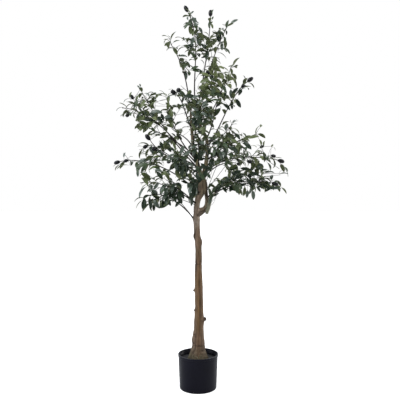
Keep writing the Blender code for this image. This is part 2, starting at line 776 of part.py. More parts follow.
def build_sprays(limbs, collection):
    """All sprays, each fused into one solid that keeps to its own space."""
    wire, leaf, olive = wire_wrap(), leaf_green(), olive_black()
    room = Room()
    for name, limb in limbs.items():
        shape = bmesh.new()
        shape.from_mesh(limb.placed.data)
        room.fill(name, shape, shape)
        shape.free()
    stems = {spray.name: stem_line(spray, limbs[spray.limb], room) for spray in SPRAYS}
    spaces = Spaces({spray.name: leafy_samples(spray, stems[spray.name]) for spray in SPRAYS})
    twig_radii = taper(TWIG_RADIUS, TWIG_TIP_RADIUS, TWIG_RINGS)
    placed = {}
    for spray in SPRAYS:
        shape = bent_tube(stems[spray.name], stem_radii(), WIRE_SIDES)
        placed[spray.name] = object_from(shape, spray.name, wire, collection)
    twigs = {}
    pieces = {}
    for spray in SPRAYS:
        rng = random.Random(spray.seed)
        pieces[spray.name] = new_collection(spray.name + "_pieces", bpy.context.scene.collection)
        twigs[spray.name] = [
            line
            for line in spray_twigs(spray, stems[spray.name], rng)
            if spaces.owner(line[-1]) == spray.name
            and add_wire(spray.name, line, twig_radii, wire, pieces[spray.name], room)
        ]
    for spray in SPRAYS:
        ends = [stems[spray.name], *reversed(twigs[spray.name])]
        for line in ends[: spray.fruits]:
            add_fruit(spray.name, line, olive, pieces[spray.name], room)
    for spray in SPRAYS:
        rng = random.Random(spray.seed + 1000)
        places = leaf_places(stems[spray.name], spray.bare, rng)
        for line in twigs[spray.name]:
            places += leaf_places(line, TWIG_BARE, rng)
        add_leaves(spray.name, places, leaf, pieces[spray.name], room, spaces, rng)
        fuse(placed[spray.name], pieces[spray.name])


def main():
    for old in list(bpy.data.objects):
        bpy.data.objects.remove(old)
    tree = new_collection("potted_olive_tree", bpy.context.scene.collection)
    cutters = new_collection("cutters", bpy.context.scene.collection)
    build_pot(tree)
    build_filling(tree)
    trunk = build_trunk(tree)
    leading = build_leading_bough(tree)
    left = build_left_bough(trunk, tree, cutters)
    build_sprays({"trunk": trunk, "bough_leading": leading, "bough_left": left}, tree)


main()
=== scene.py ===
"""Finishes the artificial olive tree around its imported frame.

Metres, +Z up, in the frame's own axes: the tree's front faces -Y. The pot and its filling, the
barked trunk with its two boughs, and the wired sprays are made anew here over the solids. The
sprays follow the same growing rule as the solids, carried to finer twigs and smaller leaves.
"""

import logging
import math
import random
from collections.abc import Sequence
from dataclasses import dataclass, field
from enum import Enum

import bmesh
import bpy
import numpy as np
from mathutils import Matrix, Quaternion, Vector, noise
from mathutils.bvhtree import BVHTree
from mathutils.kdtree import KDTree


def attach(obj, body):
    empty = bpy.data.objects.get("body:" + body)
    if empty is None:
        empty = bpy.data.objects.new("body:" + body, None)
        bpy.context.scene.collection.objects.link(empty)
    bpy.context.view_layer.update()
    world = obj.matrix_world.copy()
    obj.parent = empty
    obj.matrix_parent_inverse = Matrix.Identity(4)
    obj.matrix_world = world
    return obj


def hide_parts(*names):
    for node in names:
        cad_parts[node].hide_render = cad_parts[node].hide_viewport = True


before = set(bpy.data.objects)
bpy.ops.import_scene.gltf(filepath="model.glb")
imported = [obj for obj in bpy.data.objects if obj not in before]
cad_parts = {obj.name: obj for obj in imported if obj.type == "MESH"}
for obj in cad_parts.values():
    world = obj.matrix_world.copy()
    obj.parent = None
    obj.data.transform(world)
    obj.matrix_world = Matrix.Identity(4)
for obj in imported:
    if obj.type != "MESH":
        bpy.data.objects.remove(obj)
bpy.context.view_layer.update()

LOG = logging.getLogger("olive_tree")
MM = 0.001
UP = Vector((0, 0, 1))
BACK = Vector((0, 1, 0))
Pair = tuple[float, float]
Triple = tuple[float, float, float]
Quad = tuple[float, float, float, float]
Color = Triple
Line = list[Vector]
Face = tuple[int, ...]
Shape = bmesh.types.BMesh
Piece = bpy.types.Object
Rng = random.Random
Material = bpy.types.Material
Socket = bpy.types.NodeSocket

TREE_HEIGHT = 1.600
GAP = 0.0003
POT_HEIGHT = 0.143
FILL_TOP = 0.123
CAMERA_PLACE = (0.008, -2.12, 0.786)


class Tint(Enum):
    """The leaf colours that the sprays are dealt."""

    DEEP = "deep"
    MID = "mid"
    OLIVE = "olive"
    YOUNG = "young"
    GREY = "grey"


class Slot(Enum):
    """The kinds of material, by name."""

    POT = "pot_plastic"
    FILLING = "pot_filling"
    TRUNK = "trunk_bark"
    BOUGH = "bough_bark"
    FOLIAGE = "foliage"
    WIRE = "stem_wrap"
    OLIVE = "olive_skin"


class Host(Enum):
    """The limbs that bear sprays, by their CAD nodes."""

    TRUNK = "trunk"
    LEADING = "bough_leading"
    LEFT = "bough_left"


# ---------- node sheets and shared groups


class NodeSheet:
    """A node tree with short calls to add nodes and join them."""

    def __init__(self, tree: bpy.types.NodeTree) -> None:
        """Takes the tree to work in."""
        self.tree = tree

    def add(self, kind: str, inputs: dict | None = None, **settings: object) -> bpy.types.Node:
        """Adds a node.

        Args:
            kind: the node's type, without its ShaderNode prefix.
            inputs: values or output sockets, keyed by input name or number.
            settings: the node's own properties.

        Returns:
            The new node.
        """
        node = self.tree.nodes.new("ShaderNode" + kind)
        for label, value in settings.items():
            setattr(node, label, value)
        for label, value in (inputs or {}).items():
            self.feed(node, label, value)
        return node

    def feed(self, node: bpy.types.Node, label: str | int, value: object) -> None:
        """Sets an input to a value, or joins an output socket to it.

        Args:
            node: the node.
            label: the input's name or number.
            value: a number, a colour, a vector or a socket.
        """
        if isinstance(value, Socket):
            self.tree.links.new(value, node.inputs[label])
        elif isinstance(value, tuple) and len(value) == 3 and node.inputs[label].type == "RGBA":
            node.inputs[label].default_value = (*value, 1)
        else:
            node.inputs[label].default_value = value

    def math(self, operation: str, first: object, second: object, clamp: bool = True) -> Socket:
        """The result of a Math node, kept between 0 and 1 unless clamp is off."""
        return self.add("Math", {0: first, 1: second}, operation=operation, use_clamp=clamp).outputs[0]

    def blend(self, mask: object, first: object, second: object) -> Socket:
        """The first colour, turning into the second where the mask is high."""
        node = self.add("Mix", {0: mask, 6: first, 7: second}, data_type="RGBA", blend_type="MIX")
        return node.outputs[2]

    def patch(self, mask: object, share: object, first: object, second: object) -> Socket:
        """A blend that goes only a share of the way."""
        return self.blend(self.math("MULTIPLY", mask, share), first, second)

    def place(self) -> Socket:
        """Object coordinates."""
        return self.add("TexCoord").outputs["Object"]

    def noise(self, place: Socket, scale: object, detail: float, roughness: float = 0.5) -> Socket:
        """The value of a Noise node."""
        inputs = {"Vector": place, "Scale": scale, "Detail": detail, "Roughness": roughness}
        return self.add("TexNoise", inputs).outputs[0]

    def spread(self, value: Socket, low: float, high: float, first: float = 0.0, last: float = 1.0) -> Socket:
        """A value carried from low and high to first and last, and kept between them."""
        return self.add("MapRange", {0: value, 1: low, 2: high, 3: first, 4: last}).outputs[0]


class GroupSheet(NodeSheet):
    """The sheet of a new shader group, whose inputs are given."""

    def __init__(self, name: str, **inputs: float | Color) -> None:
        """Starts the group.

        Args:
            name: the group's name.
            inputs: each input's value, a number or a colour.
        """
        super().__init__(bpy.data.node_groups.new(name, "ShaderNodeTree"))
        for label, value in inputs.items():
            color = isinstance(value, tuple)
            kind = "NodeSocketColor" if color else "NodeSocketFloat"
            socket = self.tree.interface.new_socket(label, in_out="INPUT", socket_type=kind)
            socket.default_value = (*value, 1) if color else value
        self.given = self.tree.nodes.new("NodeGroupInput").outputs

    def close(self, **results: Socket) -> bpy.types.NodeTree:
        """Ends the group.

        Args:
            results: its outputs. The one called Color is a colour and the rest are numbers.

        Returns:
            The group.
        """
        for label in results:
            kind = "NodeSocketColor" if label == "Color" else "NodeSocketFloat"
            self.tree.interface.new_socket(label, in_out="OUTPUT", socket_type=kind)
        end = self.tree.nodes.new("NodeGroupOutput")
        for label, result in results.items():
            self.feed(end, label, result)
        return self.tree


def make_drift() -> bpy.types.NodeTree:
    """Two colours that drift into each other in soft clouds.

    Returns:
        The group.
    """
    plain = (0.5, 0.5, 0.5)
    sheet = GroupSheet("colour_drift", First=plain, Second=plain, Scale=10.0, Sharpness=2.0)
    given = sheet.given
    centred = sheet.math("SUBTRACT", sheet.noise(sheet.place(), given["Scale"], 3.0), 0.5, clamp=False)
    steep = sheet.math("MULTIPLY", centred, given["Sharpness"], clamp=False)
    mask = sheet.math("ADD", steep, 0.5)
    return sheet.close(Color=sheet.blend(mask, given["First"], given["Second"]), Mask=mask)


def make_grain() -> bpy.types.NodeTree:
    """Long fibres that run up Z, as a mask and as a height.

    Returns:
        The group.
    """
    sheet = GroupSheet("long_grain", Across=220.0, Along=14.0, Depth=0.5)
    given = sheet.given
    scale = sheet.add("CombineXYZ", {0: given["Across"], 1: given["Across"], 2: given["Along"]}).outputs[0]
    place = sheet.add("VectorMath", {0: sheet.place(), 1: scale}, operation="MULTIPLY").outputs[0]
    contrast = {0: sheet.noise(place, 1.0, 5.0, 0.62), 1: 3.6, 2: -1.3}
    mask = sheet.add("Math", contrast, operation="MULTIPLY_ADD", use_clamp=True).outputs[0]
    return sheet.close(Mask=mask, Height=sheet.math("MULTIPLY", mask, given["Depth"], clamp=False))


def make_grit() -> bpy.types.NodeTree:
    """Fine grit over a moulded or cast surface, as a mask and as a height.

    Returns:
        The group.
    """
    sheet = GroupSheet("fine_grit", Scale=900.0, Depth=0.3)
    grit = sheet.noise(sheet.place(), sheet.given["Scale"], 2.0)
    return sheet.close(Mask=grit, Height=sheet.math("MULTIPLY", grit, sheet.given["Depth"], clamp=False))


DRIFT, GRAIN, GRIT = make_drift(), make_grain(), make_grit()


# ---------- finishes


class Coat(NodeSheet):
    """The sheet of a finish's new material, with calls that dress its shader."""

    def __init__(self, finish: "Finish") -> None:
        """Starts the material with the finish's colour, roughness and gloss.

        Args:
            finish: the finish.
        """
        self.finish = finish
        self.material = bpy.data.materials.new(finish.name)
        self.material.use_nodes = True
        self.material.diffuse_color = (*finish.color, 1)
        super().__init__(self.material.node_tree)
        self.dress("Base Color", finish.color)
        self.dress("Roughness", finish.roughness)
        self.dress("Specular IOR Level", finish.gloss)

    def dress(self, label: str, value: object) -> None:
        """Sets or joins one of the shader's inputs."""
        self.feed(self.tree.nodes["Principled BSDF"], label, value)

    def group(self, tree: bpy.types.NodeTree, **values: object) -> bpy.types.NodeOutputs:
        """The outputs of a shared group that has its own values here."""
        inputs = {label.capitalize(): value for label, value in values.items()}
        return self.add("Group", inputs, node_tree=tree).outputs

    def drift(self, other: Color, scale: float, sharpness: float) -> Socket:
        """Lets the colour drift into another.

        Args:
            other: the other colour.
            scale: how fine the clouds are.
            sharpness: how hard their edges are.

        Returns:
            The clouds' mask.
        """
        shared = self.group(DRIFT, first=self.finish.color, second=other, scale=scale, sharpness=sharpness)
        self.dress("Base Color", shared["Color"])
        return shared["Mask"]

    def roughen(self, mask: Socket, less: float, more: float) -> None:
        """Lets the roughness vary by a mask, from less than the finish's to more."""
        rough = self.finish.roughness
        self.dress("Roughness", self.spread(mask, 0.0, 1.0, rough - less, rough + more))

    def bump(self, height: Socket, distance: float) -> None:
        """Roughens the surface by a height."""
        node = self.add("Bump", {"Height": height, "Distance": distance, "Strength": 1.0})
        self.dress("Normal", node.outputs[0])


@dataclass(frozen=True)
class Finish:
    """What every finish has: a name, a colour, a roughness and a gloss."""

    name: str
    color: Color
    roughness: float
    gloss: float = field(default=0.5, kw_only=True)

    def material(self) -> Material:
        """Builds the material.

        Returns:
            The material.
        """
        coat = Coat(self)
        self.paint(coat)
        return coat.material

    def paint(self, coat: Coat) -> None:
        """Adds to the coat what only this finish has."""


@dataclass(frozen=True)
class LeafFinish(Finish):
    """A satin leaf surface whose green drifts a little from leaf to leaf."""

    other: Color
    vein_scale: float = 420.0

    def paint(self, coat: Coat) -> None:
        """Lets the green drift and adds the veins.

        Args:
            coat: the leaf's material.
        """
        coat.drift(self.other, 38.0, 3.0)
        grit = coat.group(GRIT, scale=self.vein_scale, depth=0.4)
        coat.roughen(grit["Mask"], 0.06, 0.1)
        coat.bump(grit["Height"], 0.0006)


@dataclass(frozen=True)
class BarkFinish(Finish):
    """Furrowed bark banded by height, with rosy patches, painted-sheen grey flanks, painted shade in sunk
    places and a mossy foot.
    """

    bands: tuple[tuple[float, Color], ...]
    rosy: Color
    # grey of the painted sheen on the left and right sides
    grey: Color
    # Dark of the grain's grooves, and also the colour the painted shade darkens to.
    furrow_and_shade: Color
    moss: Color
    rosy_share: float = 0.42
    flank_sheen_share: float = 0.48
    moss_share: float = 0.85
    furrow_share: float = 0.62
    moss_heights: Pair = (0.19, 0.15)

    def paint(self, coat: Coat) -> None:
        """Lays the patches over the bands, the grain over all, and then the painted shade.

        Args:
            coat: the bark's material.
        """
        across, _, height = coat.add("SeparateXYZ", {0: coat.place()}).outputs
        rosy = coat.group(DRIFT, scale=30.0, sharpness=5.0)["Mask"]
        tone = coat.patch(rosy, self.rosy_share, self.banded(coat, height), self.rosy)
        # Painted sheen: the bark turns grey towards its left and right sides as seen from the front.
        flank_sheen = coat.math("ADD", coat.spread(across, 0.002, 0.024), coat.spread(across, 0.002, -0.020))
        tone = coat.patch(flank_sheen, self.flank_sheen_share, tone, self.grey)
        mossy = coat.group(DRIFT, scale=14.0, sharpness=6.0)["Mask"]
        foot = coat.spread(height, *self.moss_heights, 0.0, self.moss_share)
        tone = coat.patch(mossy, foot, tone, self.moss)
        grain = coat.group(GRAIN, across=170.0, along=9.0, depth=1.0)
        dark = coat.math("SUBTRACT", 1.0, grain["Mask"])
        tone = coat.patch(dark, self.furrow_share, tone, self.furrow_and_shade)
        # Painted shade: the colour turns dark where the mesh's shade layer is high, in sunk bark, creases and
        # the elbow web; knot eyes and pruned cuts darken the same way.
        hollow = coat.add("Attribute", attribute_name="hollow").outputs["Fac"]
        coat.dress("Base Color", coat.blend(hollow, tone, self.furrow_and_shade))
        fine = coat.group(GRAIN, across=520.0, along=60.0, depth=0.6)
        coat.bump(coat.math("ADD", grain["Height"], fine["Height"], clamp=False), 0.0013)

    def banded(self, coat: Coat, height: Socket) -> Socket:
        """The colour of each height.

        Args:
            coat: the sheet to work in.
            height: the height of the place.

        Returns:
            The colour.
        """
        low, high = self.bands[0][0], self.bands[-1][0]
        ramp = coat.add("ValToRGB", {0: coat.spread(height, low, high)})
        stops = ramp.color_ramp.elements
        stops[0].color = (*self.bands[0][1], 1)
        stops[1].color = (*self.bands[-1][1], 1)
        for at, color in self.bands[1:-1]:
            stops.new((at - low) / (high - low)).color = (*color, 1)
        return ramp.outputs[0]


@dataclass(frozen=True)
class PlasticFinish(Finish):
    """Moulded plastic, satin, with a very faint grain and a little dust."""

    dust: Color
    grain: float = 0.00012
    sheen: float = 0.10

    def paint(self, coat: Coat) -> None:
        """Adds the sheen, the dust and the grain.

        Args:
            coat: the skin's material.
        """
        coat.dress("Sheen Weight", self.sheen)
        coat.dress("Sheen Roughness", 0.35)
        coat.dress("Sheen Tint", (0.80, 0.88, 1.0))
        coat.roughen(coat.drift(self.dust, 16.0, 1.6), 0.05, 0.08)
        coat.bump(coat.group(GRIT, scale=1400.0, depth=1.0)["Height"], self.grain)


@dataclass(frozen=True)
class CastFinish(Finish):
    """A rough dark cast surface with paler grit in it."""

    grit_color: Color

    def paint(self, coat: Coat) -> None:
        """Scatters the grit.

        Args:
            coat: the filling's material.
        """
        grit = coat.group(GRIT, scale=260.0, depth=1.0)
        spots = coat.spread(grit["Mask"], 0.52, 0.72)
        coat.dress("Base Color", coat.blend(spots, self.color, self.grit_color))
        coat.bump(grit["Height"], 0.0015)


@dataclass(frozen=True)
class WrapFinish(Finish):
    """Paper-wrapped wire with a lengthwise crease."""

    other: Color

    def paint(self, coat: Coat) -> None:
        """Creases the paper.

        Args:
            coat: the paper's material.
        """
        grain = coat.group(GRAIN, across=700.0, along=160.0, depth=1.0)
        coat.dress("Base Color", coat.blend(grain["Mask"], self.color, self.other))
        coat.bump(grain["Height"], 0.0003)


@dataclass(frozen=True)
class FruitFinish(Finish):
    """Glossy dark olive skin with a dull bloom here and there."""

    bloom: Color

    def paint(self, coat: Coat) -> None:
        """Dulls the skin where the bloom is."""
        coat.roughen(coat.drift(self.bloom, 70.0, 2.5), 0.0, 0.2)


@dataclass(frozen=True)
class FloorFinish(Finish):
    """The plain pale floor, lifted to white where it is looked at."""

    glow: float

    def paint(self, coat: Coat) -> None:
        """Lets the floor glow to the camera alone.

        Args:
            coat: the floor's material.
        """
        coat.dress("Emission Color", (1.0, 1.0, 1.0))
        direct = coat.add("LightPath").outputs["Is Camera Ray"]
        coat.dress("Emission Strength", coat.math("MULTIPLY", direct, self.glow))


# ---------- lines


def smooth_line(stations: Sequence[Sequence[float]], count: int) -> list[Vector]:
    """Points spread evenly along a smooth curve through stations, from the first to the last.

    Args:
        stations: the places, each a tuple of any one size.
        count: how many points to give.

    Returns:
        The points, with as many components as the stations.
    """
    knots = [Vector(station) for station in stations]
    knots = [2 * knots[0] - knots[1], *knots, 2 * knots[-1] - knots[-2]]
    spans = len(knots) - 3
    line = []
    for step in range(count):
        place = step / (count - 1) * spans
        span = min(int(place), spans - 1)
        t = place - span
        a, b, c, d = knots[span : span + 4]
        bend = 2 * a - 5 * b + 4 * c - d
        turn = 3 * b - a - 3 * c + d
        line.append((2 * b + (c - a) * t + bend * t**2 + turn * t**3) / 2)
    return line


@dataclass(frozen=True)
class Arc:
    """A bending line from a foot to a tip that starts and ends along given directions."""

    foot: Vector
    tip: Vector
    leave: Vector
    end: Vector

    def line(self, count: int) -> Line:
        """Points along the arc.

        Args:
            count: how many.

        Returns:
            The points, from the foot to the tip.
        """
        handle = (self.tip - self.foot).length / 3
        near = self.foot + handle * self.leave
        far = self.tip - handle * self.end
        points = []
        for step in range(count):
            t = step / (count - 1)
            s = 1 - t
            points.append(s**3 * self.foot + 3 * s**2 * t * near + 3 * s * t**2 * far + t**3 * self.tip)
        return points


def point_on(line: Line, share: float) -> tuple[Vector, Vector]:
    """The point at a share of the way along a line.

    Args:
        line: the line.
        share: the share, from 0 to 1.

    Returns:
        The point, and the line's direction there.
    """
    place = min(max(share, 0), 1) * (len(line) - 1)
    span = min(int(place), len(line) - 2)
    start, stop = line[span], line[span + 1]
    return start.lerp(stop, place - span), (stop - start).normalized()


def line_length(line: Line) -> float:
    """A line's length."""
    return sum((b - a).length for a, b in zip(line, line[1:]))


def taper(first: float, last: float, count: int) -> list[float]:
    """Count radii from the first to the last, evenly spaced."""
    return [first + (last - first) * step / (count - 1) for step in range(count)]


def circle(sides: int) -> list[Pair]:
    """The cosine and the sine of each even step round a circle."""
    angles = [2 * math.pi * step / sides for step in range(sides)]
    return [(math.cos(angle), math.sin(angle)) for angle in angles]


def level(turn: float) -> Vector:
    """The level direction at a turn from +X, in radians."""
    return Vector((math.cos(turn), math.sin(turn), 0))


def tipped(first: Vector, second: Vector, turn: float) -> Vector:
    """A direction turned from the first towards the second, which is square to it, in radians."""
    return math.cos(turn) * first + math.sin(turn) * second


def sideways(direction: Vector) -> Vector:
    """A level direction square to the given one."""
    side = direction.cross(UP)
    return side.normalized() if side.length > 0.05 else Vector((1, 0, 0))


def ring_frames(line: Line) -> list[tuple[Vector, Vector]]:
    """Two directions across a line at each of its points, carried along without twist.

    Args:
        line: the line.

    Returns:
        The two directions for each point.
    """
    heading = (line[1] - line[0]).normalized()
    side = heading.orthogonal().normalized()
    frames = []
    for ring in range(len(line)):
        after = line[min(ring + 1, len(line) - 1)]
        before = line[max(ring - 1, 0)]
        turned = (after - before).normalized()
        side = heading.rotation_difference(turned) @ side
        heading = turned
        frames.append((side, heading.cross(side)))
    return frames


def long_noise(place: Vector, across: float, along: float, shift: Triple = (0, 0, 0)) -> float:
    """Noise of one size across the limb and another up it, shifted to differ from the rest."""
    x, y, z = shift
    return noise.noise(Vector((place.x * across + x, place.y * across + y, place.z * along + z)))


def point_tree(points: Sequence[Vector]) -> KDTree:
    """A tree that finds the nearest of some points.

    Args:
        points: the points.

    Returns:
        The tree.
    """
    tree = KDTree(len(points))
    for index, point in enumerate(points):
        tree.insert(point, index)
    tree.balance()
    return tree


# ---------- meshes


def new_object(name: str, data: bpy.types.ID) -> Piece:
    """Adds an object to the scene.

    Args:
        name: its name.
        data: its data.

    Returns:
        The object.
    """
    piece = bpy.data.objects.new(name, data)
    bpy.context.scene.collection.objects.link(piece)
    return piece


def placed_piece(name: str, mesh: bpy.types.Mesh, slot: Slot) -> Piece:
    """Places a mesh in the scene, riding on the frame.

    Args:
        name: the piece's name.
        mesh: its mesh.
        slot: not used.

    Returns:
        The placed piece.
    """
    piece = new_object(name, mesh)
    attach(piece, "root")
    LOG.info("%s: %d triangles", name, sum(len(face.vertices) - 2 for face in mesh.polygons))
    return piece


def creased_piece(name: str, mesh: bpy.types.Mesh, material: Material, slot: Slot, crease: float) -> Piece:
    """Places a mesh that is smooth except at its sharp edges.

    Args:
        name: the piece's name.
        mesh: its mesh.
        material: its only material.
        slot: passed on, but not used.
        crease: the angle in degrees from which an edge is sharp.

    Returns:
        The placed piece.
    """
    mesh.materials.append(material)
    mesh.polygons.foreach_set("use_smooth", [True] * len(mesh.polygons))
    mesh.set_sharp_from_angle(angle=math.radians(crease))
    return placed_piece(name, mesh, slot)


def carved_mesh(name: str, shape: Shape) -> bpy.types.Mesh:
    """Turns a finished shape into a mesh and frees it.

    Args:
        name: the mesh's name.
        shape: the shape.

    Returns:
        The mesh.
    """
    shape.normal_update()
    mesh = bpy.data.meshes.new(name)
    shape.to_mesh(mesh)
    shape.free()
    return mesh


def skin(shape: Shape, rings: Sequence[Sequence[bmesh.types.BMVert]]) -> None:
    """Closes a shape over rings of vertices, with a cap at each end.

    Args:
        shape: the shape that holds the vertices.
        rings: the rings, from the lowest up.
    """
    for low, high in zip(rings, rings[1:]):
        for corners in zip(low, low[1:] + low[:1], high[1:] + high[:1], high):
            shape.faces.new(corners)
    shape.faces.new(reversed(rings[0]))
    shape.faces.new(rings[-1])


@dataclass
class MeshBin:
    """Gathers the vertices and faces of many small shapes into one mesh."""

    name: str
    vertices: list[np.ndarray] = field(default_factory=list)
    faces: list[Face] = field(default_factory=list)
    slots: list[int] = field(default_factory=list)
    count: int = 0

    def add(self, vertices: np.ndarray, faces: Sequence[Face], slots: Sequence[int] = ()) -> None:
        """Adds a shape.

        Args:
            vertices: its places, one row each.
            faces: its faces, numbered from its own first vertex.
            slots: each face's material slot, all the first if none are given.
        """
        self.vertices.append(vertices)
        self.faces.extend(tuple(index + self.count for index in face) for face in faces)
        self.slots.extend(slots or [0] * len(faces))
        self.count += len(vertices)

    def piece(self, slot: Slot, *materials: Material) -> Piece:
        """Makes the mesh a placed piece that rides on the frame.

        Args:
            slot: passed on, but not used.
            materials: the finishes, in slot order.

        Returns:
            The placed piece.
        """
        mesh = bpy.data.meshes.new(self.name)
        mesh.from_pydata(np.concatenate(self.vertices).tolist(), [], self.faces)
        for material in materials:
            mesh.materials.append(material)
        mesh.polygons.foreach_set("material_index", self.slots)
        mesh.polygons.foreach_set("use_smooth", [True] * len(mesh.polygons))
        mesh.update()
        return placed_piece(self.name, mesh, slot)


def band_faces(first: int, sides: int) -> list[Face]:
    """The faces between a ring of vertices and the next ring, from the ring's first vertex."""
    pairs = [(first + step, first + (step + 1) % sides) for step in range(sides)]
    return [(a, b, b + sides, a + sides) for a, b in pairs]


def tube(line: Line, radii: Sequence[float], sides: int) -> tuple[np.ndarray, list[Face]]:
    """A closed round tube along a line.

    Args:
        line: its middle.
        radii: its radius at each point of the line.
        sides: how many sides it has.

    Returns:
        Its vertices and its faces.
    """
    turns = circle(sides)
    vertices = [
        point + radius * (cos * side + sin * up)
        for point, radius, (side, up) in zip(line, radii, ring_frames(line))
        for cos, sin in turns
    ]
    last = (len(line) - 1) * sides
    faces = [face for first in range(0, last, sides) for face in band_faces(first, sides)]
    faces += [tuple(reversed(range(sides))), tuple(range(last, last + sides))]
    return np.array(vertices), faces


# ---------- pot


@dataclass
class Pot:
    """The nursery pot: a thin tapered shell with a rolled rim and a rounded foot."""

    rim_radius: float = 0.084
    base_radius: float = 0.077
    base_round: float = 0.005
    rim_depth: float = 0.009
    rim_proud: float = 0.0012
    lip: float = 0.0012
    wall: float = 0.0025
    floor: float = 0.004
    sides: int = 160
    foot_ring: float = 0.0016
    moulding_heights: tuple[float, ...] = (0.1255, 0.1285, 0.1315, 0.1345)
    moulding_half: float = 0.0006
    moulding_proud: float = 0.0004
    crease: float = 38
    finish: PlasticFinish = PlasticFinish(
        "black_moulded_plastic", (0.0034, 0.0032, 0.0066), 0.34, gloss=0.12, dust=(0.0050, 0.0050, 0.0105)
    )

    def wall_radius(self, height: float) -> float:
        """The outer radius at a height, below the rim band."""
        top = self.rim_radius - self.rim_proud
        return self.base_radius + (top - self.base_radius) * height / POT_HEIGHT

    def inner_radius(self, height: float) -> float:
        """The radius inside the wall at a height."""
        return self.wall_radius(height) - self.wall

    def profile(self) -> list[Pair]:
        """The turned outline, from the inside of the floor over the rim to the underside.

        Returns:
            Pairs of a radius and a height.
        """
        inner = self.rim_radius - self.rim_proud - self.wall
        points = [(0.0, self.floor), (self.inner_radius(self.floor), self.floor)]
        for height in self.moulding_heights:
            radius, half = self.inner_radius(height), self.moulding_half
            points += [(radius, height - half), (radius - self.moulding_proud, height)]
            points += [(radius, height + half)]
        points += [(inner, POT_HEIGHT - 0.0022)]
        points += self.arc((inner + self.lip, POT_HEIGHT - self.lip), self.lip, 180, 90)
        points += self.arc((self.rim_radius - self.lip, POT_HEIGHT - self.lip), self.lip, 90, 0)
        band_foot = POT_HEIGHT - self.rim_depth
        points += [(self.rim_radius - 0.0002, band_foot + 0.0006), (self.rim_radius - 0.0007, band_foot)]
        points += [(self.wall_radius(band_foot) + 0.0001, band_foot - 0.0004)]
        for step in range(1, 9):
            height = band_foot - step * (band_foot - self.base_round) / 9
            points.append((self.wall_radius(height), height))
        corner = self.wall_radius(self.base_round) - self.base_round
        points += self.arc((corner, self.base_round), self.base_round, 0, -90)
        ring = corner - 2 * self.foot_ring
        return points + [(ring + self.foot_ring, 0.0), (ring, self.foot_ring), (0.0, self.foot_ring)]

    @staticmethod
    def arc(centre: Pair, radius: float, start: float, stop: float) -> list[Pair]:
        """Points round a quarter circle, in degrees from the outward side."""
        angles = [math.radians(start + (stop - start) * step / 5) for step in range(6)]
        return [(centre[0] + radius * math.cos(a), centre[1] + radius * math.sin(a)) for a in angles]

    def build(self) -> Piece:
        """Turns the profile and puts it in the CAD pot's place.

        Returns:
            The placed pot.
        """
        mesh = bpy.data.meshes.new("pot_profile")
        points = [(radius, 0, height) for radius, height in self.profile()]
        mesh.from_pydata(points, [(i, i + 1) for i in range(len(points) - 1)], [])
        spun = new_object("spun_pot", mesh)
        screw = spun.modifiers.new("turned", "SCREW")
        screw.steps = screw.render_steps = self.sides
        screw.use_merge_vertices = True
        screw.merge_threshold = 0.00001
        graph = bpy.context.evaluated_depsgraph_get()
        shell = bpy.data.meshes.new_from_object(spun.evaluated_get(graph))
        bpy.data.objects.remove(spun)
        piece = creased_piece("moulded_pot", shell, self.finish.material(), Slot.POT, self.crease)
        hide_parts("pot")
        return piece


@dataclass
class Filling:
    """The cast filling, level but not quite smooth, with a worn edge at the wall."""

    rings: int = 30
    sides: int = 96
    roughness: float = 0.0009
    sink: float = 0.001
    worn_depth: float = 0.0012
    worn_width: float = 0.004
    lump_scale: float = 60
    pore_scale: float = 190
    foot: float = 0.0043
    finish: CastFinish = CastFinish(
        "cast_filling", (0.004, 0.004, 0.006), 0.62, gloss=0.18, grit_color=(0.012, 0.011, 0.014)
    )

    def build(self, pot: Pot) -> Piece:
        """Lays the disc inside the pot.

        Args:
            pot: the pot that holds it.

        Returns:
            The placed piece.
        """
        edge, foot_radius = pot.inner_radius(FILL_TOP) - GAP, pot.inner_radius(self.foot) - GAP
        turns = circle(self.sides)
        vertices = [Vector((0, 0, FILL_TOP - self.sink))]
        for ring in range(1, self.rings + 1):
            radius = edge * ring / self.rings
            for cos, sin in turns:
                place = Vector((radius * cos, radius * sin, 0))
                lump = noise.noise(place * self.lump_scale) + 0.5 * noise.noise(place * self.pore_scale)
                near_edge = max(0.0, 1 - (edge - radius) / self.worn_width)
                place.z = FILL_TOP - self.sink + self.roughness * lump - self.worn_depth * near_edge
                vertices.append(place)
        vertices += [Vector((foot_radius * cos, foot_radius * sin, self.foot)) for cos, sin in turns]
        faces = [(0, 1 + step, 1 + (step + 1) % self.sides) for step in range(self.sides)]
        last = 1 + self.rings * self.sides
        for first in range(1, last, self.sides):
            faces += [(a, d, c, b) for a, b, c, d in band_faces(first, self.sides)]
        faces.append(tuple(reversed(range(last, last + self.sides))))
        bin_ = MeshBin("pot_filling_top")
        bin_.add(np.array(vertices), faces)
        piece = bin_.piece(Slot.FILLING, self.finish.material())
        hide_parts("pot_filling")
        return piece


# ---------- trunk and boughs


@dataclass(frozen=True)
class Knot:
    """A knot in the bark.

    It has a height, a way it faces in degrees, and how far it stands out. Its size is how wide
    it swells, and its eye how dark the sunk middle is.
    """

    height: float
    facing: float
    proud: float
    size: float = 0.009
    eye: float = 0.9
    reach: float = 0.014
    eye_depth: float = 0.0022

    def relief(self, place: Vector, outward: Vector) -> Pair:
        """The knot's swelling and its sunk eye at a place on the bark.

        Args:
            place: a point on the smooth limb.
            outward: the way out of the limb there.

        Returns:
            The height in metres, and how dark it is.
        """
        facing = outward.dot(level(math.radians(self.facing)))
        around = math.acos(max(-1.0, min(1.0, facing))) * self.reach
        away = math.hypot(around, (place.z - self.height) * 0.8) / self.size
        eye = math.exp(-(away**2) * 7)
        swell = self.proud * math.exp(-(away**2) * 1.1)
        return swell - self.eye_depth * self.eye * eye, self.eye * eye


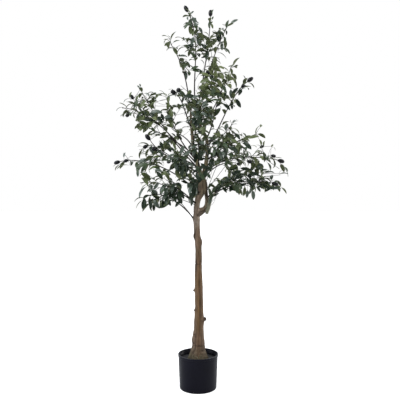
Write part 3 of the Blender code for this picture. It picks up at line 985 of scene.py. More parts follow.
@dataclass
class Limb:
    """A trunk or bough: its stations of height, x, y and radius, and how its bark is cut."""

    name: str
    stations: tuple[Quad, ...]
    low: float = 0.5
    high: float = 1.3
    sides: int = 64
    ring_step: float = 0.0024
    relief: float = 1.0
    knots: tuple[Knot, ...] = ()
    creases: tuple[float, ...] = ()
    # least painted shade laid over the whole limb's bark
    shade: float = 0.0
    crease_width: float = 0.0016
    crease_depth: float = 0.0014
    sharp: float = 60
    line: Line = field(default_factory=list)
    radii: list[float] = field(default_factory=list)

    def trace(self, rings: int) -> tuple[Line, list[float]]:
        """The limb's middle and its radii at a number of rings."""
        points = smooth_line(self.stations, rings)
        return [Vector((x, y, z)) for z, x, y, _ in points], [radius for _, _, _, radius in points]

    def settle(self, rings: int) -> None:
        """Keeps the line and the radii at as many rings as the solid has."""
        self.line, self.radii = self.trace(rings)

    def at(self, height: float) -> tuple[Vector, float]:
        """Where the limb crosses a level plane, at its highest crossing.

        Args:
            height: the plane's height.

        Returns:
            The limb's middle and its radius there.
        """
        for ring in range(len(self.line) - 2, -1, -1):
            low, high = self.line[ring], self.line[ring + 1]
            if low.z <= height <= high.z:
                share = (height - low.z) / (high.z - low.z)
                radius = self.radii[ring] + share * (self.radii[ring + 1] - self.radii[ring])
                return low.lerp(high, share), radius
        return self.line[-1], self.radii[-1]

    def bark(self, place: Vector, outward: Vector, radius: float) -> Pair:
        """How far the bark stands out at a place, and how much painted shade darkens it there.

        Args:
            place: a point on the smooth limb.
            outward: the way out of the limb there.
            radius: the smooth radius there.

        Returns:
            The height in metres, and the painted shade, from 0 on a ridge to 1 in the deepest grooves,
            creases and knot eyes.
        """
        thick = self.relief * (0.5 + radius / 0.034)
        fibre = long_noise(place, 130, 9)
        ridge = 1 - 2 * abs(long_noise(place, 62, 5.5, (7, 0, 0)))
        lump = long_noise(place, 24, 11, (0, 3, 0))
        fine = long_noise(place, 420, 60)
        knob = long_noise(place, 70, 34, (0, 0, 5))
        height = thick * (
            0.00045 * fibre + 0.0006 * (ridge - 0.4) + 0.0009 * lump + 0.0011 * knob + 0.00025 * fine
        )
        # Painted shade: darker where the relief sinks and in the creases, never lighter than the limb's own
        # shade; knot eyes darken too.
        hollow = min(1.0, max(self.shade, 0.16 - 1.2 * fibre - 0.4 * ridge - 0.5 * knob))
        for crease in self.creases:
            away = (place.z - crease - 0.005 * noise.noise(place * 35)) / self.crease_width
            height -= self.crease_depth * math.exp(-(away**2))
            hollow = max(hollow, 0.85 * math.exp(-(away**2)))
        for knot in self.knots:
            rise, pit = knot.relief(place, outward)
            height += rise
            hollow = max(hollow, pit)
        return height, hollow

    def build(self, finish: BarkFinish, slot: Slot, node: str) -> Piece:
        """Cuts the bark in fine rings and puts it in the CAD limb's place.

        Args:
            finish: the bark's finish.
            slot: passed on, but not used.
            node: the CAD node it stands for.

        Returns:
            The placed piece.
        """
        rough_line, _ = self.trace(200)
        line, radii = self.trace(round(line_length(rough_line) / self.ring_step))
        shape = bmesh.new()
        # Each vertex keeps the darkness painted on it: painted shade in sunk places and creases, and the
        # knots' dark eyes.
        dark_and_shade_layer = shape.verts.layers.float.new("hollow")
        rings = []
        for middle, radius, (side, up) in zip(line, radii, ring_frames(line)):
            ring = []
            for cos, sin in circle(self.sides):
                outward = cos * side + sin * up
                smooth = middle + radius * outward
                height, hollow = self.bark(smooth, outward, radius)
                vert = shape.verts.new(smooth + height * outward)
                vert[dark_and_shade_layer] = hollow
                ring.append(vert)
            rings.append(ring)
        skin(shape, rings)
        self.trim(shape)
        piece = creased_piece(self.name, carved_mesh(self.name, shape), finish.material(), slot, self.sharp)
        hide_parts(node)
        return piece

    def trim(self, shape: Shape) -> None:
        """Cuts the limb off flat at its lowest and highest heights, and closes it.

        Args:
            shape: the limb's shape.
        """
        for height, side in ((self.low, -1), (self.high, 1)):
            geometry = shape.verts[:] + shape.edges[:] + shape.faces[:]
            plane = {"plane_co": height * UP, "plane_no": side * UP}
            cut = bmesh.ops.bisect_plane(shape, geom=geometry, clear_outer=True, **plane)
            edges = [part for part in cut["geom_cut"] if isinstance(part, bmesh.types.BMEdge)]
            if edges:
                bmesh.ops.holes_fill(shape, edges=edges)


@dataclass(frozen=True)
class Stub:
    """What is left of a pruned shoot: its height, the way it faces and rises, its length and radius."""

    height: float
    facing: float
    rise: float
    length: float
    radius: float
    cut: float = 0.5
    sides: int = 14
    roughness: float = 0.16

    def add_to(self, shape: Shape, hollow: bmesh.types.BMLayerItem, trunk: Limb) -> None:
        """Adds the stub with its dark slanting cut.

        Args:
            shape: the mesh it is added to.
            hollow: the layer that darkens the cut.
            trunk: the settled trunk it stands on.
        """
        middle, radius = trunk.at(self.height)
        out = tipped(level(math.radians(self.facing)), UP, math.radians(self.rise))
        side = sideways(out)
        up = side.cross(out)
        end = radius + self.length
        collar = ((0.6 * radius, 1.7), (radius, 1.25), (radius + 0.5 * self.length, 0.95))
        rings = []
        for reach, wide in (*collar, (end, 0.8), (end - 0.0012, 0.55)):
            at_cut = wide <= 0.8
            ring = []
            for cos, sin in circle(self.sides):
                rough = 1 + self.roughness * noise.noise(Vector((3 * cos, 3 * sin, self.height * 90)))
                slant = self.cut * self.length * sin * at_cut
                across = wide * rough * self.radius * (cos * side + sin * up)
                vert = shape.verts.new(middle + (reach - slant) * out + across)
                vert[hollow] = 1.0 if at_cut else 0.25
                ring.append(vert)
            rings.append(ring)
        skin(shape, rings)


@dataclass
class PrunedStubs:
    """All the pruned stubs on the trunk."""

    stubs: tuple[Stub, ...]
    sharp: float = 50

    def build(self, trunk: Limb, finish: BarkFinish) -> Piece:
        """Sets the stubs on the trunk.

        Args:
            trunk: the settled trunk.
            finish: their bark.

        Returns:
            The placed piece.
        """
        shape = bmesh.new()
        hollow = shape.verts.layers.float.new("hollow")
        for stub in self.stubs:
            stub.add_to(shape, hollow, trunk)
        mesh = carved_mesh("pruned_stubs", shape)
        return creased_piece("pruned_stubs", mesh, finish.material(), Slot.TRUNK, self.sharp)


@dataclass
class FootFibres:
    """Coir-like fibres that hang from the trunk's flared foot on to the filling."""

    count: int = 420
    radius: float = 0.0005
    clear: float = 0.0002
    top: Pair = (0.130, 0.150)
    drift: Pair = (-0.12, 0.12)
    flare: Pair = (0.001, 0.006)
    seed: int = 71
    finish: WrapFinish = WrapFinish("foot_fibre", (0.085, 0.07, 0.04), 0.95, other=(0.16, 0.135, 0.085))

    def build(self, trunk: Limb) -> Piece:
        """Lays the fibres round the trunk's foot.

        Args:
            trunk: the settled trunk.

        Returns:
            The placed piece.
        """
        rng = random.Random(self.seed)
        bin_ = MeshBin("foot_fibres")
        for _ in range(self.count):
            angle = rng.uniform(0, 2 * math.pi)
            top, drift, flare = (rng.uniform(*span) for span in (self.top, self.drift, self.flare))
            line = []
            for t in (0.0, 0.25, 0.5, 0.75, 1.0):
                middle, radius = trunk.at(max(top + (FILL_TOP - top) * t, FILL_TOP + self.clear))
                line.append(middle + (radius + self.clear + flare * t**3) * level(angle + drift * t))
            bin_.add(*tube(line, taper(self.radius, 0.4 * self.radius, 5), 4))
        return bin_.piece(Slot.TRUNK, self.finish.material())


# ---------- growth, as the solids grow


STEM_RADIUS = 0.0030
STEM_TIP_RADIUS = 0.0020
TWIG_RADIUS = 0.0017
TWIG_TIP_RADIUS = 0.0013
WIRE_SIDES = 3
STEM_RINGS = 6
TWIG_RINGS = 3
TWIG_ANGLE = 38
TWIG_THINNING = 0.45
TWIG_TOP = 0.94
GOLDEN_ANGLE = 137.5
TURNS = (0, 10, -10, 20, -20, 32, -32, 46, -46, 62, -62)
SEATING_STEPS = 10
CLEARANCE = 0.0010
SPRIG_STEPS = 30
SPRIG_TOP = 0.97
SPRIG_ANGLE = 50
SPRIG_BEND_COST = 1.6


@dataclass(frozen=True)
class Spray:
    """One wired spray: where its stem leaves a limb, where it ends, and how full it is.

    leave and end are the stem's slopes in degrees at its foot and its tip, bare is the share
    of the stem below its first twig, and with fruits its stem ends in an olive. The tints are
    dealt to its leaves, the first one most often.
    """

    name: str
    host: Host
    height: float
    tip: Triple
    leave: float
    end: float
    bare: float
    twigs: int
    fruits: int
    seed: int
    tints: tuple[Tint, ...]
    spread: float = 0.25

    @property
    def node(self) -> str:
        """The CAD node it stands for."""
        return "spray_" + self.name


@dataclass(frozen=True)
class FrontView:
    """The level view from the camera's place, on which places are read off.

    A place is a pixel's column and row. A pixel has its real length at the trunk's depth. The
    trunk stands at one column and the floor lies at one row.
    """

    pixel: float = 0.004195
    trunk_column: float = 198.1
    floor_row: float = 387.4
    eye: Triple = CAMERA_PLACE

    def place(self, column: float, row: float, depth: float) -> tuple[int, int, int]:
        """Where something lies that is seen at a pixel.

        Args:
            column: the pixel's column.
            row: the pixel's row.
            depth: how far behind the trunk it lies, in metres.

        Returns:
            Its x, y and z in whole millimetres.
        """
        further = 1 + depth / -self.eye[1]
        x = self.eye[0] + ((column - self.trunk_column) * self.pixel - self.eye[0]) * further
        z = self.eye[2] + ((self.floor_row - row) * self.pixel - self.eye[2]) * further
        return round(x / MM), round(depth / MM), round(z / MM)

    def oval(self, column: float, row: float, wide: float, tall: float) -> Quad:
        """An oval's middle, half width and half height at the trunk's depth.

        Args:
            column: its middle's column.
            row: its middle's row.
            wide: half its width in pixels.
            tall: half its height in pixels.

        Returns:
            The x and z of its middle, and the two halves, in whole millimetres.
        """
        x, _, z = self.place(column, row, 0.0)
        return x, z, round(wide * self.pixel / MM), round(tall * self.pixel / MM)


FRONT_VIEW = FrontView()


@dataclass(frozen=True)
class Sprig:
    """A listed leafy shoot on a spray's stem.

    It ends where the front view has its column and row, at its depth. Most of its leaves have its
    tint. It ends in an olive if fruit, the olive's size as a share of the usual, is more than
    nothing.
    """

    column: float
    row: float
    depth: float
    tint: Tint
    fruit: float = 0.0

    def arc(self, stem: Line, bare: float) -> Arc:
        """The shoot's arc, from the place on the stem that suits its tip best.

        Args:
            stem: the spray's stem.
            bare: the share of the stem that bears nothing.

        Returns:
            The shoot's arc.
        """
        tip = MM * Vector(FRONT_VIEW.place(self.column, self.row, self.depth))
        best = None
        for step in range(SPRIG_STEPS + 1):
            start, along = point_on(stem, bare + (SPRIG_TOP - bare) * step / SPRIG_STEPS)
            way = tip - start
            bend = max(0.0, math.degrees(along.angle(way, 0.0)) - SPRIG_ANGLE)
            cost = way.length * (1 + SPRIG_BEND_COST * bend / SPRIG_ANGLE)
            if best is None or cost < best[0]:
                best = cost, start, along, way.normalized()
        _, start, along, way = best
        return Arc(start, tip, (0.6 * along + way).normalized(), (way - 0.35 * UP).normalized())


def bent_tube(line: Line, radii: Sequence[float]) -> Shape:
    """The solids' own closed tube: a round primitive cut into rings, each carried to its place.

    Args:
        line: its middle.
        radii: its radius at each point of the line.

    Returns:
        The tube.
    """
    shape = bmesh.new()
    bmesh.ops.create_cone(shape, cap_ends=True, segments=WIRE_SIDES, radius1=1, radius2=1, depth=1)
    long_edges = [e for e in shape.edges if abs(e.verts[0].co.z - e.verts[1].co.z) > 0.5]
    bmesh.ops.subdivide_edges(shape, edges=long_edges, cuts=len(line) - 2, use_grid_fill=True)
    across = ring_frames(line)
    for vert in shape.verts:
        ring = round((vert.co.z + 0.5) * (len(line) - 1))
        first, second = across[ring]
        vert.co = line[ring] + radii[ring] * (vert.co.x * first + vert.co.y * second)
    return shape


def tube_and_outer(line: Line, radii: Sequence[float]) -> tuple[Shape, Shape]:
    """A wire's tube, and the part of it beyond its root."""
    return bent_tube(line, radii), bent_tube(line[1:], radii[1:])


class Blocker:
    """A piece that others keep clear of, with a ball round it."""

    def __init__(self, owner: str, points: Line, whole: BVHTree, outer: BVHTree) -> None:
        """Takes the piece.

        Args:
            owner: the spray or limb it belongs to.
            points: its points.
            whole: all of it.
            outer: the part of it beyond its root.
        """
        self.owner, self.points, self.whole, self.outer = owner, points, whole, outer
        self.middle = sum(points, Vector()) / len(points)
        self.radius = max((point - self.middle).length for point in points)

    @classmethod
    def of(cls, owner: str, whole: Shape, outer: Shape) -> "Blocker":
        """A blocker made of a shape and the part of it beyond its root."""
        points = [vert.co.copy() for vert in whole.verts]
        return cls(owner, points, BVHTree.FromBMesh(whole), BVHTree.FromBMesh(outer))


class Room:
    """The space that limbs, twigs, leaves and olives already fill."""

    def __init__(self) -> None:
        """Starts empty."""
        self.filled: list[Blocker] = []

    def free(self, piece: Blocker, seat: str) -> bool:
        """Whether a piece would touch nothing but what its root is set into.

        Args:
            piece: the piece.
            seat: the owner of what its root is set into.

        Returns:
            Whether it has room.
        """
        for other in self.filled:
            if (other.middle - piece.middle).length > other.radius + piece.radius:
                continue
            rooted = other.owner == seat
            mine, theirs = (piece.outer, other.outer) if rooted else (piece.whole, other.whole)
            if mine.overlap(theirs):
                return False
        return True

    def take(self, piece: Blocker, seat: str) -> bool:
        """Fills a piece's space if it is free.

        Args:
            piece: the piece.
            seat: the owner of what its root is set into.

        Returns:
            Whether it was free.
        """
        fits = self.free(piece, seat)
        if fits:
            self.filled.append(piece)
        return fits


@dataclass(frozen=True)
class SetLeaves:
    """Leaves listed one by one for one spray, all near one depth.

    Each has the column and row of its root and of its tip in the front view, its tint, and how
    far its top is turned from up to the front, in degrees.
    """

    spray: str
    depth: float
    leaves: tuple[tuple[float, float, float, float, Tint, float], ...]


@dataclass(frozen=True)
class Openings:
    """The gaps in the crown as seen from in front of the tree.

    Each is an upright oval at the trunk's depth: its middle's x and z, half its width and half
    its height, in millimetres. The eye is where they are seen from, so that a gap runs right
    through the crown.
    """

    ovals: tuple[Quad, ...]
    eye: Triple = CAMERA_PLACE

    def open_at(self, place: Vector) -> bool:
        """Whether a place lies in a gap.

        Args:
            place: the place.

        Returns:
            Whether it does.
        """
        nearer = self.eye[1] / (self.eye[1] - place.y)
        x = (self.eye[0] + (place.x - self.eye[0]) * nearer) / MM
        z = (self.eye[2] + (place.z - self.eye[2]) * nearer) / MM
        return any(((x - a) / wide) ** 2 + ((z - b) / tall) ** 2 < 1 for a, b, wide, tall in self.ovals)


@dataclass(frozen=True)
class Gauge:
    """How a wire is drawn: its radii at its foot and its tip, and its rings and sides."""

    first: float
    last: float
    rings: int
    sides: int


STEM_GAUGE = Gauge(0.0030, 0.0015, 18, 6)
TWIG_GAUGE = Gauge(0.0012, 0.0007, 9, 5)
TWIGLET_GAUGE = Gauge(0.0009, 0.0006, 5, 4)
SPRIG_GAUGE = Gauge(0.0010, 0.0007, 8, 5)
STALK_GAUGE = Gauge(0.0008, 0.0006, 6, 4)


@dataclass(frozen=True)
class Wire:
    """A bending wire: its arc and its gauge."""

    arc: Arc
    gauge: Gauge

    def line(self) -> Line:
        """The wire's middle."""
        return self.arc.line(self.gauge.rings)


def straight_wire(foot: Triple, tip: Triple, radius: float) -> Wire:
    """A straight bare wire among the leaves.

    Args:
        foot: the column and row of its foot in the front view, and its depth.
        tip: the same for its tip.
        radius: its radius at its foot.

    Returns:
        The wire.
    """
    start, end = (Vector([MM * value for value in FRONT_VIEW.place(*seen)]) for seen in (foot, tip))
    way = (end - start).normalized()
    return Wire(Arc(start, end, way, way), Gauge(radius, 0.8 * radius, 6, 6))


@dataclass(frozen=True)
class LeafyWire:
    """A wire that bears leaves, and how.

    first is the share of it below its first leaves. Roaming leaves may reach into another
    spray's space. A wire that ends in a fruit has no leaves at its tip.
    """

    wire: Wire
    first: float
    spacing: float
    tint: Tint | None = None
    roaming: bool = False
    fruit: bool = False


@dataclass(frozen=True)
class LeafPlace:
    """Where a leaf grows: its root, its wire's direction, its turn and angle from it, its size."""

    root: Vector
    wire: Vector
    turn: float
    angle: float
    size: float


@dataclass(frozen=True)
class LeafPose:
    """How a leaf lies.

    It has a root, where its stalk starts, the way it leaves its wire, the way its top faces,
    square to that, its size as a share of the usual, and how far its tip turns down and about
    its length, in radians.
    """

    root: Vector
    along: Vector
    face: Vector
    size: float
    curl: float
    twist: float


class Grower:
    """Grows every spray's stem and twigs, clear of the limbs and of one another."""

    def __init__(self, limbs: dict[Host, Limb], sprays: Sequence[Spray]) -> None:
        """Takes the settled limbs and the sprays.

        Args:
            limbs: each limb that bears sprays.
            sprays: the sprays, in growing order.
        """
        self.limbs = limbs
        self.sprays = sprays
        self.room = Room()
        self.surfaces: dict[Host, BVHTree] = {}
        for host in limbs:
            shape = bmesh.new()
            shape.from_mesh(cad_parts[host.value].data)
            limb = Blocker.of(host.value, shape, shape)
            self.room.filled.append(limb)
            self.surfaces[host] = limb.whole
            shape.free()
        self.stems = {spray.name: self.stem_arc(spray) for spray in sprays}
        leafy = [(spray.name, point) for spray in sprays for point in self.leafy_points(spray)]
        self.owners = [name for name, _ in leafy]
        self.nearest = point_tree([point for _, point in leafy])
        self.twigs = {spray.name: self.twig_arcs(spray) for spray in sprays}

    def leafy_points(self, spray: Spray) -> Line:
        """Points up the leafy part of a spray's stem."""
        stem = self.stems[spray.name].line(STEM_RINGS)
        return [point_on(stem, spray.bare + (1 - spray.bare) * step / 8)[0] for step in range(9)]

    def owner(self, place: Vector) -> str:
        """The spray that a place belongs to: the one whose leafy stem is nearest."""
        return self.owners[self.nearest.find(place)[1]]

    def stem_arc(self, spray: Spray) -> Arc:
        """A spray's stem, from its seat on the limb to its tip, past whatever is there.

        Args:
            spray: the spray.

        Returns:
            The stem's arc.

        Raises:
            ValueError: if the stem finds no way.
        """
        middle, _ = self.limbs[spray.host].at(spray.height)
        straight = (Vector(spray.tip) - middle) * Vector((1, 1, 0))
        straight.normalize()
        end = tipped(straight, UP, math.radians(spray.end))
        radii = taper(STEM_RADIUS, STEM_TIP_RADIUS, STEM_RINGS)
        wider = [radius + CLEARANCE for radius in radii]
        for turn in TURNS:
            arc = self.seated_arc(spray, Quaternion(UP, math.radians(turn)) @ straight, end)
            line = arc.line(STEM_RINGS)
            bare = bent_tube(line, radii)
            if not self.room.free(Blocker.of(spray.name, bare, bare), spray.name):
                continue
            if self.room.take(Blocker.of(spray.name, *tube_and_outer(line, wider)), spray.host.value):
                return arc
        raise ValueError(f"{spray.name} finds no way past the others")

    def seated_arc(self, spray: Spray, heading: Vector, end: Vector) -> Arc:
        """A stem's arc, with its foot drawn up to one gap clear of the limb.

        Args:
            spray: the spray.
            heading: the level way it leaves the limb.
            end: the way it points at its tip.

        Returns:
            The stem's arc.
        """
        middle, radius = self.limbs[spray.host].at(spray.height)
        surface = self.surfaces[spray.host]
        foot = middle + (radius + 2 * STEM_RADIUS) * heading
        leave = tipped(heading, UP, math.radians(spray.leave))
        radii = taper(STEM_RADIUS, STEM_TIP_RADIUS, STEM_RINGS)[:2]
        for _ in range(SEATING_STEPS):
            arc = Arc(foot.copy(), Vector(spray.tip), leave, end)
            stub = bent_tube(arc.line(STEM_RINGS)[:2], radii)
            points = [e.verts[0].co.lerp(e.verts[1].co, step / 5) for e in stub.edges for step in range(6)]
            foot += (GAP - min(surface.find_nearest(point)[3] for point in points)) * heading
            stub.free()
        return arc

    def twig_arcs(self, spray: Spray) -> list[Arc]:
        """A spray's side twigs that have room.

        Args:
            spray: the spray.

        Returns:
            Their lines, from the lowest to the highest.
        """
        rng = random.Random(spray.seed)
        stem = self.stems[spray.name].line(STEM_RINGS)
        length = line_length(stem)
        wider = [radius + CLEARANCE for radius in taper(TWIG_RADIUS, TWIG_TIP_RADIUS, TWIG_RINGS)]
        turn = rng.uniform(0, 360)
        arcs = []
        for twig in range(spray.twigs):
            share = spray.bare + (TWIG_TOP - spray.bare) * twig / spray.twigs
            thinned = 1.15 - TWIG_THINNING * twig / spray.twigs
            reach = spray.spread * length * thinned * rng.uniform(0.85, 1.15)
            sag = rng.uniform(-0.12, 0.16)
            arcs.append(self.side_arc(stem, share, turn, reach, sag, TWIG_ANGLE + rng.uniform(-8, 8)))
            turn += GOLDEN_ANGLE + rng.uniform(-15, 15)
        kept = []
        for arc in arcs:
            line = arc.line(TWIG_RINGS)
            if self.owner(line[-1]) != spray.name:
                continue
            if self.room.take(Blocker.of(spray.name, *tube_and_outer(line, wider)), spray.name):
                kept.append(arc)
        return kept

    @staticmethod
    def side_arc(line: Line, share: float, turn: float, length: float, sag: float, angle: float) -> Arc:
        """A side wire that leaves a line at an angle and bends under its own weight.

        Args:
            line: the line it leaves.
            share: how far up the line it leaves.
            turn: its turn about the line in degrees.
            length: its length.
            sag: how much it sinks.
            angle: its angle from the line in degrees.

        Returns:
            The side wire's arc.
        """
        start, along = point_on(line, share)
        side = Quaternion(along, math.radians(turn)) @ sideways(along)
        heading = tipped(along, side, math.radians(angle)).normalized()
        tip = start + length * (heading - sag * UP).normalized()
        return Arc(start, tip, heading, (heading - 2 * sag * UP).normalized())


# ---------- leaves, wires and olives


@dataclass
class LeafForm:
    """One leaf: a blunt oval blade, folded at its midrib and curled towards its underside."""

    length: float = 0.0540
    width: float = 0.0192
    thickness: float = 0.0006
    stalk: float = 0.10
    stalk_width: float = 0.08
    waist_power: float = 0.92
    fullness: float = 0.72
    fold: float = 0.20
    stations: int = 9

    def __post_init__(self) -> None:
        """Works out the outline and the faces once for all leaves."""
        t = np.linspace(0, 1, self.stations + 1)
        blade = np.clip((t - self.stalk) / (1 - self.stalk), 0, 1)
        outline = np.sin(np.pi * blade**self.waist_power) ** self.fullness
        self.t = t
        self.half_width = 0.5 * np.maximum(outline, self.stalk_width * (1 - t) * (t < 0.5))
        self.half_width[-1] = 0.0
        self.across = np.array([-1.0, -0.55, 0.0, 0.55, 1.0])
        width, last_row = len(self.across), self.stations - 1
        under = (self.stations + 1) * width
        self.faces: list[Face] = []
        for row in range(self.stations):
            for first in range(row * width, (row + 1) * width - 1):
                corners = (first, first + 1, first + 1 + width, first + width)
                top = corners[:3] if row == last_row else corners
                self.faces += [top, tuple(under + index for index in reversed(top))]
        self.slots = [index % 2 for index in range(len(self.faces))]

    def blade(self, pose: LeafPose) -> np.ndarray:
        """The leaf's vertices: its top sheet, then its underside.

        Args:
            pose: how it lies.

        Returns:
            One row for each vertex.
        """
        length, width = pose.size * self.length, pose.size * self.width
        first, up = np.array(pose.along), np.array(pose.face)
        side = np.cross(up, first)
        bend = pose.curl * self.t**1.2
        heading = np.cos(bend)[:, None] * first - np.sin(bend)[:, None] * up
        normal = np.sin(bend)[:, None] * first + np.cos(bend)[:, None] * up
        steps = np.diff(self.t)[:, None] * (heading[:-1] + heading[1:]) / 2
        middle = np.array(pose.root) + length * np.concatenate([np.zeros((1, 3)), np.cumsum(steps, axis=0)])
        turn = (pose.twist * self.t)[:, None]
        lateral = np.cos(turn) * side + np.sin(turn) * normal
        raised = np.cos(turn) * normal - np.sin(turn) * side
        out = self.half_width[:, None] * width * self.across
        lift = self.fold * np.abs(out)
        top = middle[:, None, :] + out[:, :, None] * lateral[:, None, :]
        top = top + lift[:, :, None] * raised[:, None, :]
        inset = self.thickness * (1 - np.abs(self.across)) * (self.half_width > 0)[:, None]
        under = top - inset[:, :, None] * raised[:, None, :]
        return np.concatenate([top.reshape(-1, 3), under.reshape(-1, 3)])

    def proxy(self, pose: LeafPose) -> Blocker:
        """A few triangles in the blade's place, for keeping leaves apart.

        Args:
            pose: how it lies.

        Returns:
            The blocker, with points from its start over both edges to its tip.
        """
        length, width = pose.size * self.length, pose.size * self.width
        along, face = pose.along, pose.face
        side = face.cross(along)
        mid_way = (along - 0.5 * math.sin(pose.curl / 3) * face).normalized()
        middle = pose.root + 0.5 * length * mid_way
        tip_way = (math.cos(pose.curl) * along - math.sin(pose.curl) * face).normalized()
        edges = [middle - 0.47 * width * side, middle + 0.47 * width * side]
        points = [pose.root + 0.16 * length * along, *edges, middle + 0.48 * length * tip_way]
        tree = BVHTree.FromPolygons(points, [(0, 1, 2), (1, 3, 2)])
        return Blocker("", points, tree, tree)


@dataclass
class OliveForm:
    """One olive: a smooth egg with a drawn-out tip."""

    length: float = 0.0265
    width: float = 0.0165
    rings: int = 12
    sides: int = 16
    tip_draw: float = 0.06

    def __post_init__(self) -> None:
        """Works out the surface once for all olives."""
        points = [(0.0, 0.0, -1.0)]
        for ring in range(1, self.rings):
            polar = math.pi * ring / self.rings
            reach = math.sin(polar)
            points += [(reach * cos, reach * sin, -math.cos(polar)) for cos, sin in circle(self.sides)]
        self.points = np.array([*points, (0.0, 0.0, 1.0 + self.tip_draw)])
        end = 1 + (self.rings - 2) * self.sides
        self.faces: list[Face] = []
        for step in range(self.sides):
            after = (step + 1) % self.sides
            self.faces += [(0, 1 + after, 1 + step), (len(points), end + step, end + after)]
        for first in range(1, end, self.sides):
            self.faces += band_faces(first, self.sides)

    def egg(self, foot: Vector, along: Vector, size: float) -> np.ndarray:
        """An olive's vertices.

        Args:
            foot: where it starts.
            along: the way it points.
            size: its size as a share of the usual.

        Returns:
            One row for each vertex.
        """
        turn = np.array(UP.rotation_difference(along).to_matrix())
        scale = size * np.array([self.width / 2, self.width / 2, self.length / 2])
        centre = np.array(foot + size * self.length / 2 * along)
        return centre + (self.points * scale) @ turn.T

    def proxy(self, foot: Vector, along: Vector, size: float) -> Blocker:
        """A plain ball in the olive's place, for keeping leaves off it.

        Args:
            foot: where it starts.
            along: the way it points.
            size: its size as a share of the usual.

        Returns:
            The blocker.
        """
        shape = bmesh.new()
        bmesh.ops.create_uvsphere(shape, u_segments=6, v_segments=4, radius=1)
        centre = foot + size * self.length / 2 * along
        stretch = size * Matrix.Diagonal((self.width / 2,) * 2 + (self.length / 2,))
        turn = UP.rotation_difference(along).to_matrix()
        for vert in shape.verts:
            vert.co = centre + turn @ stretch @ vert.co
        return Blocker.of("", shape, shape)


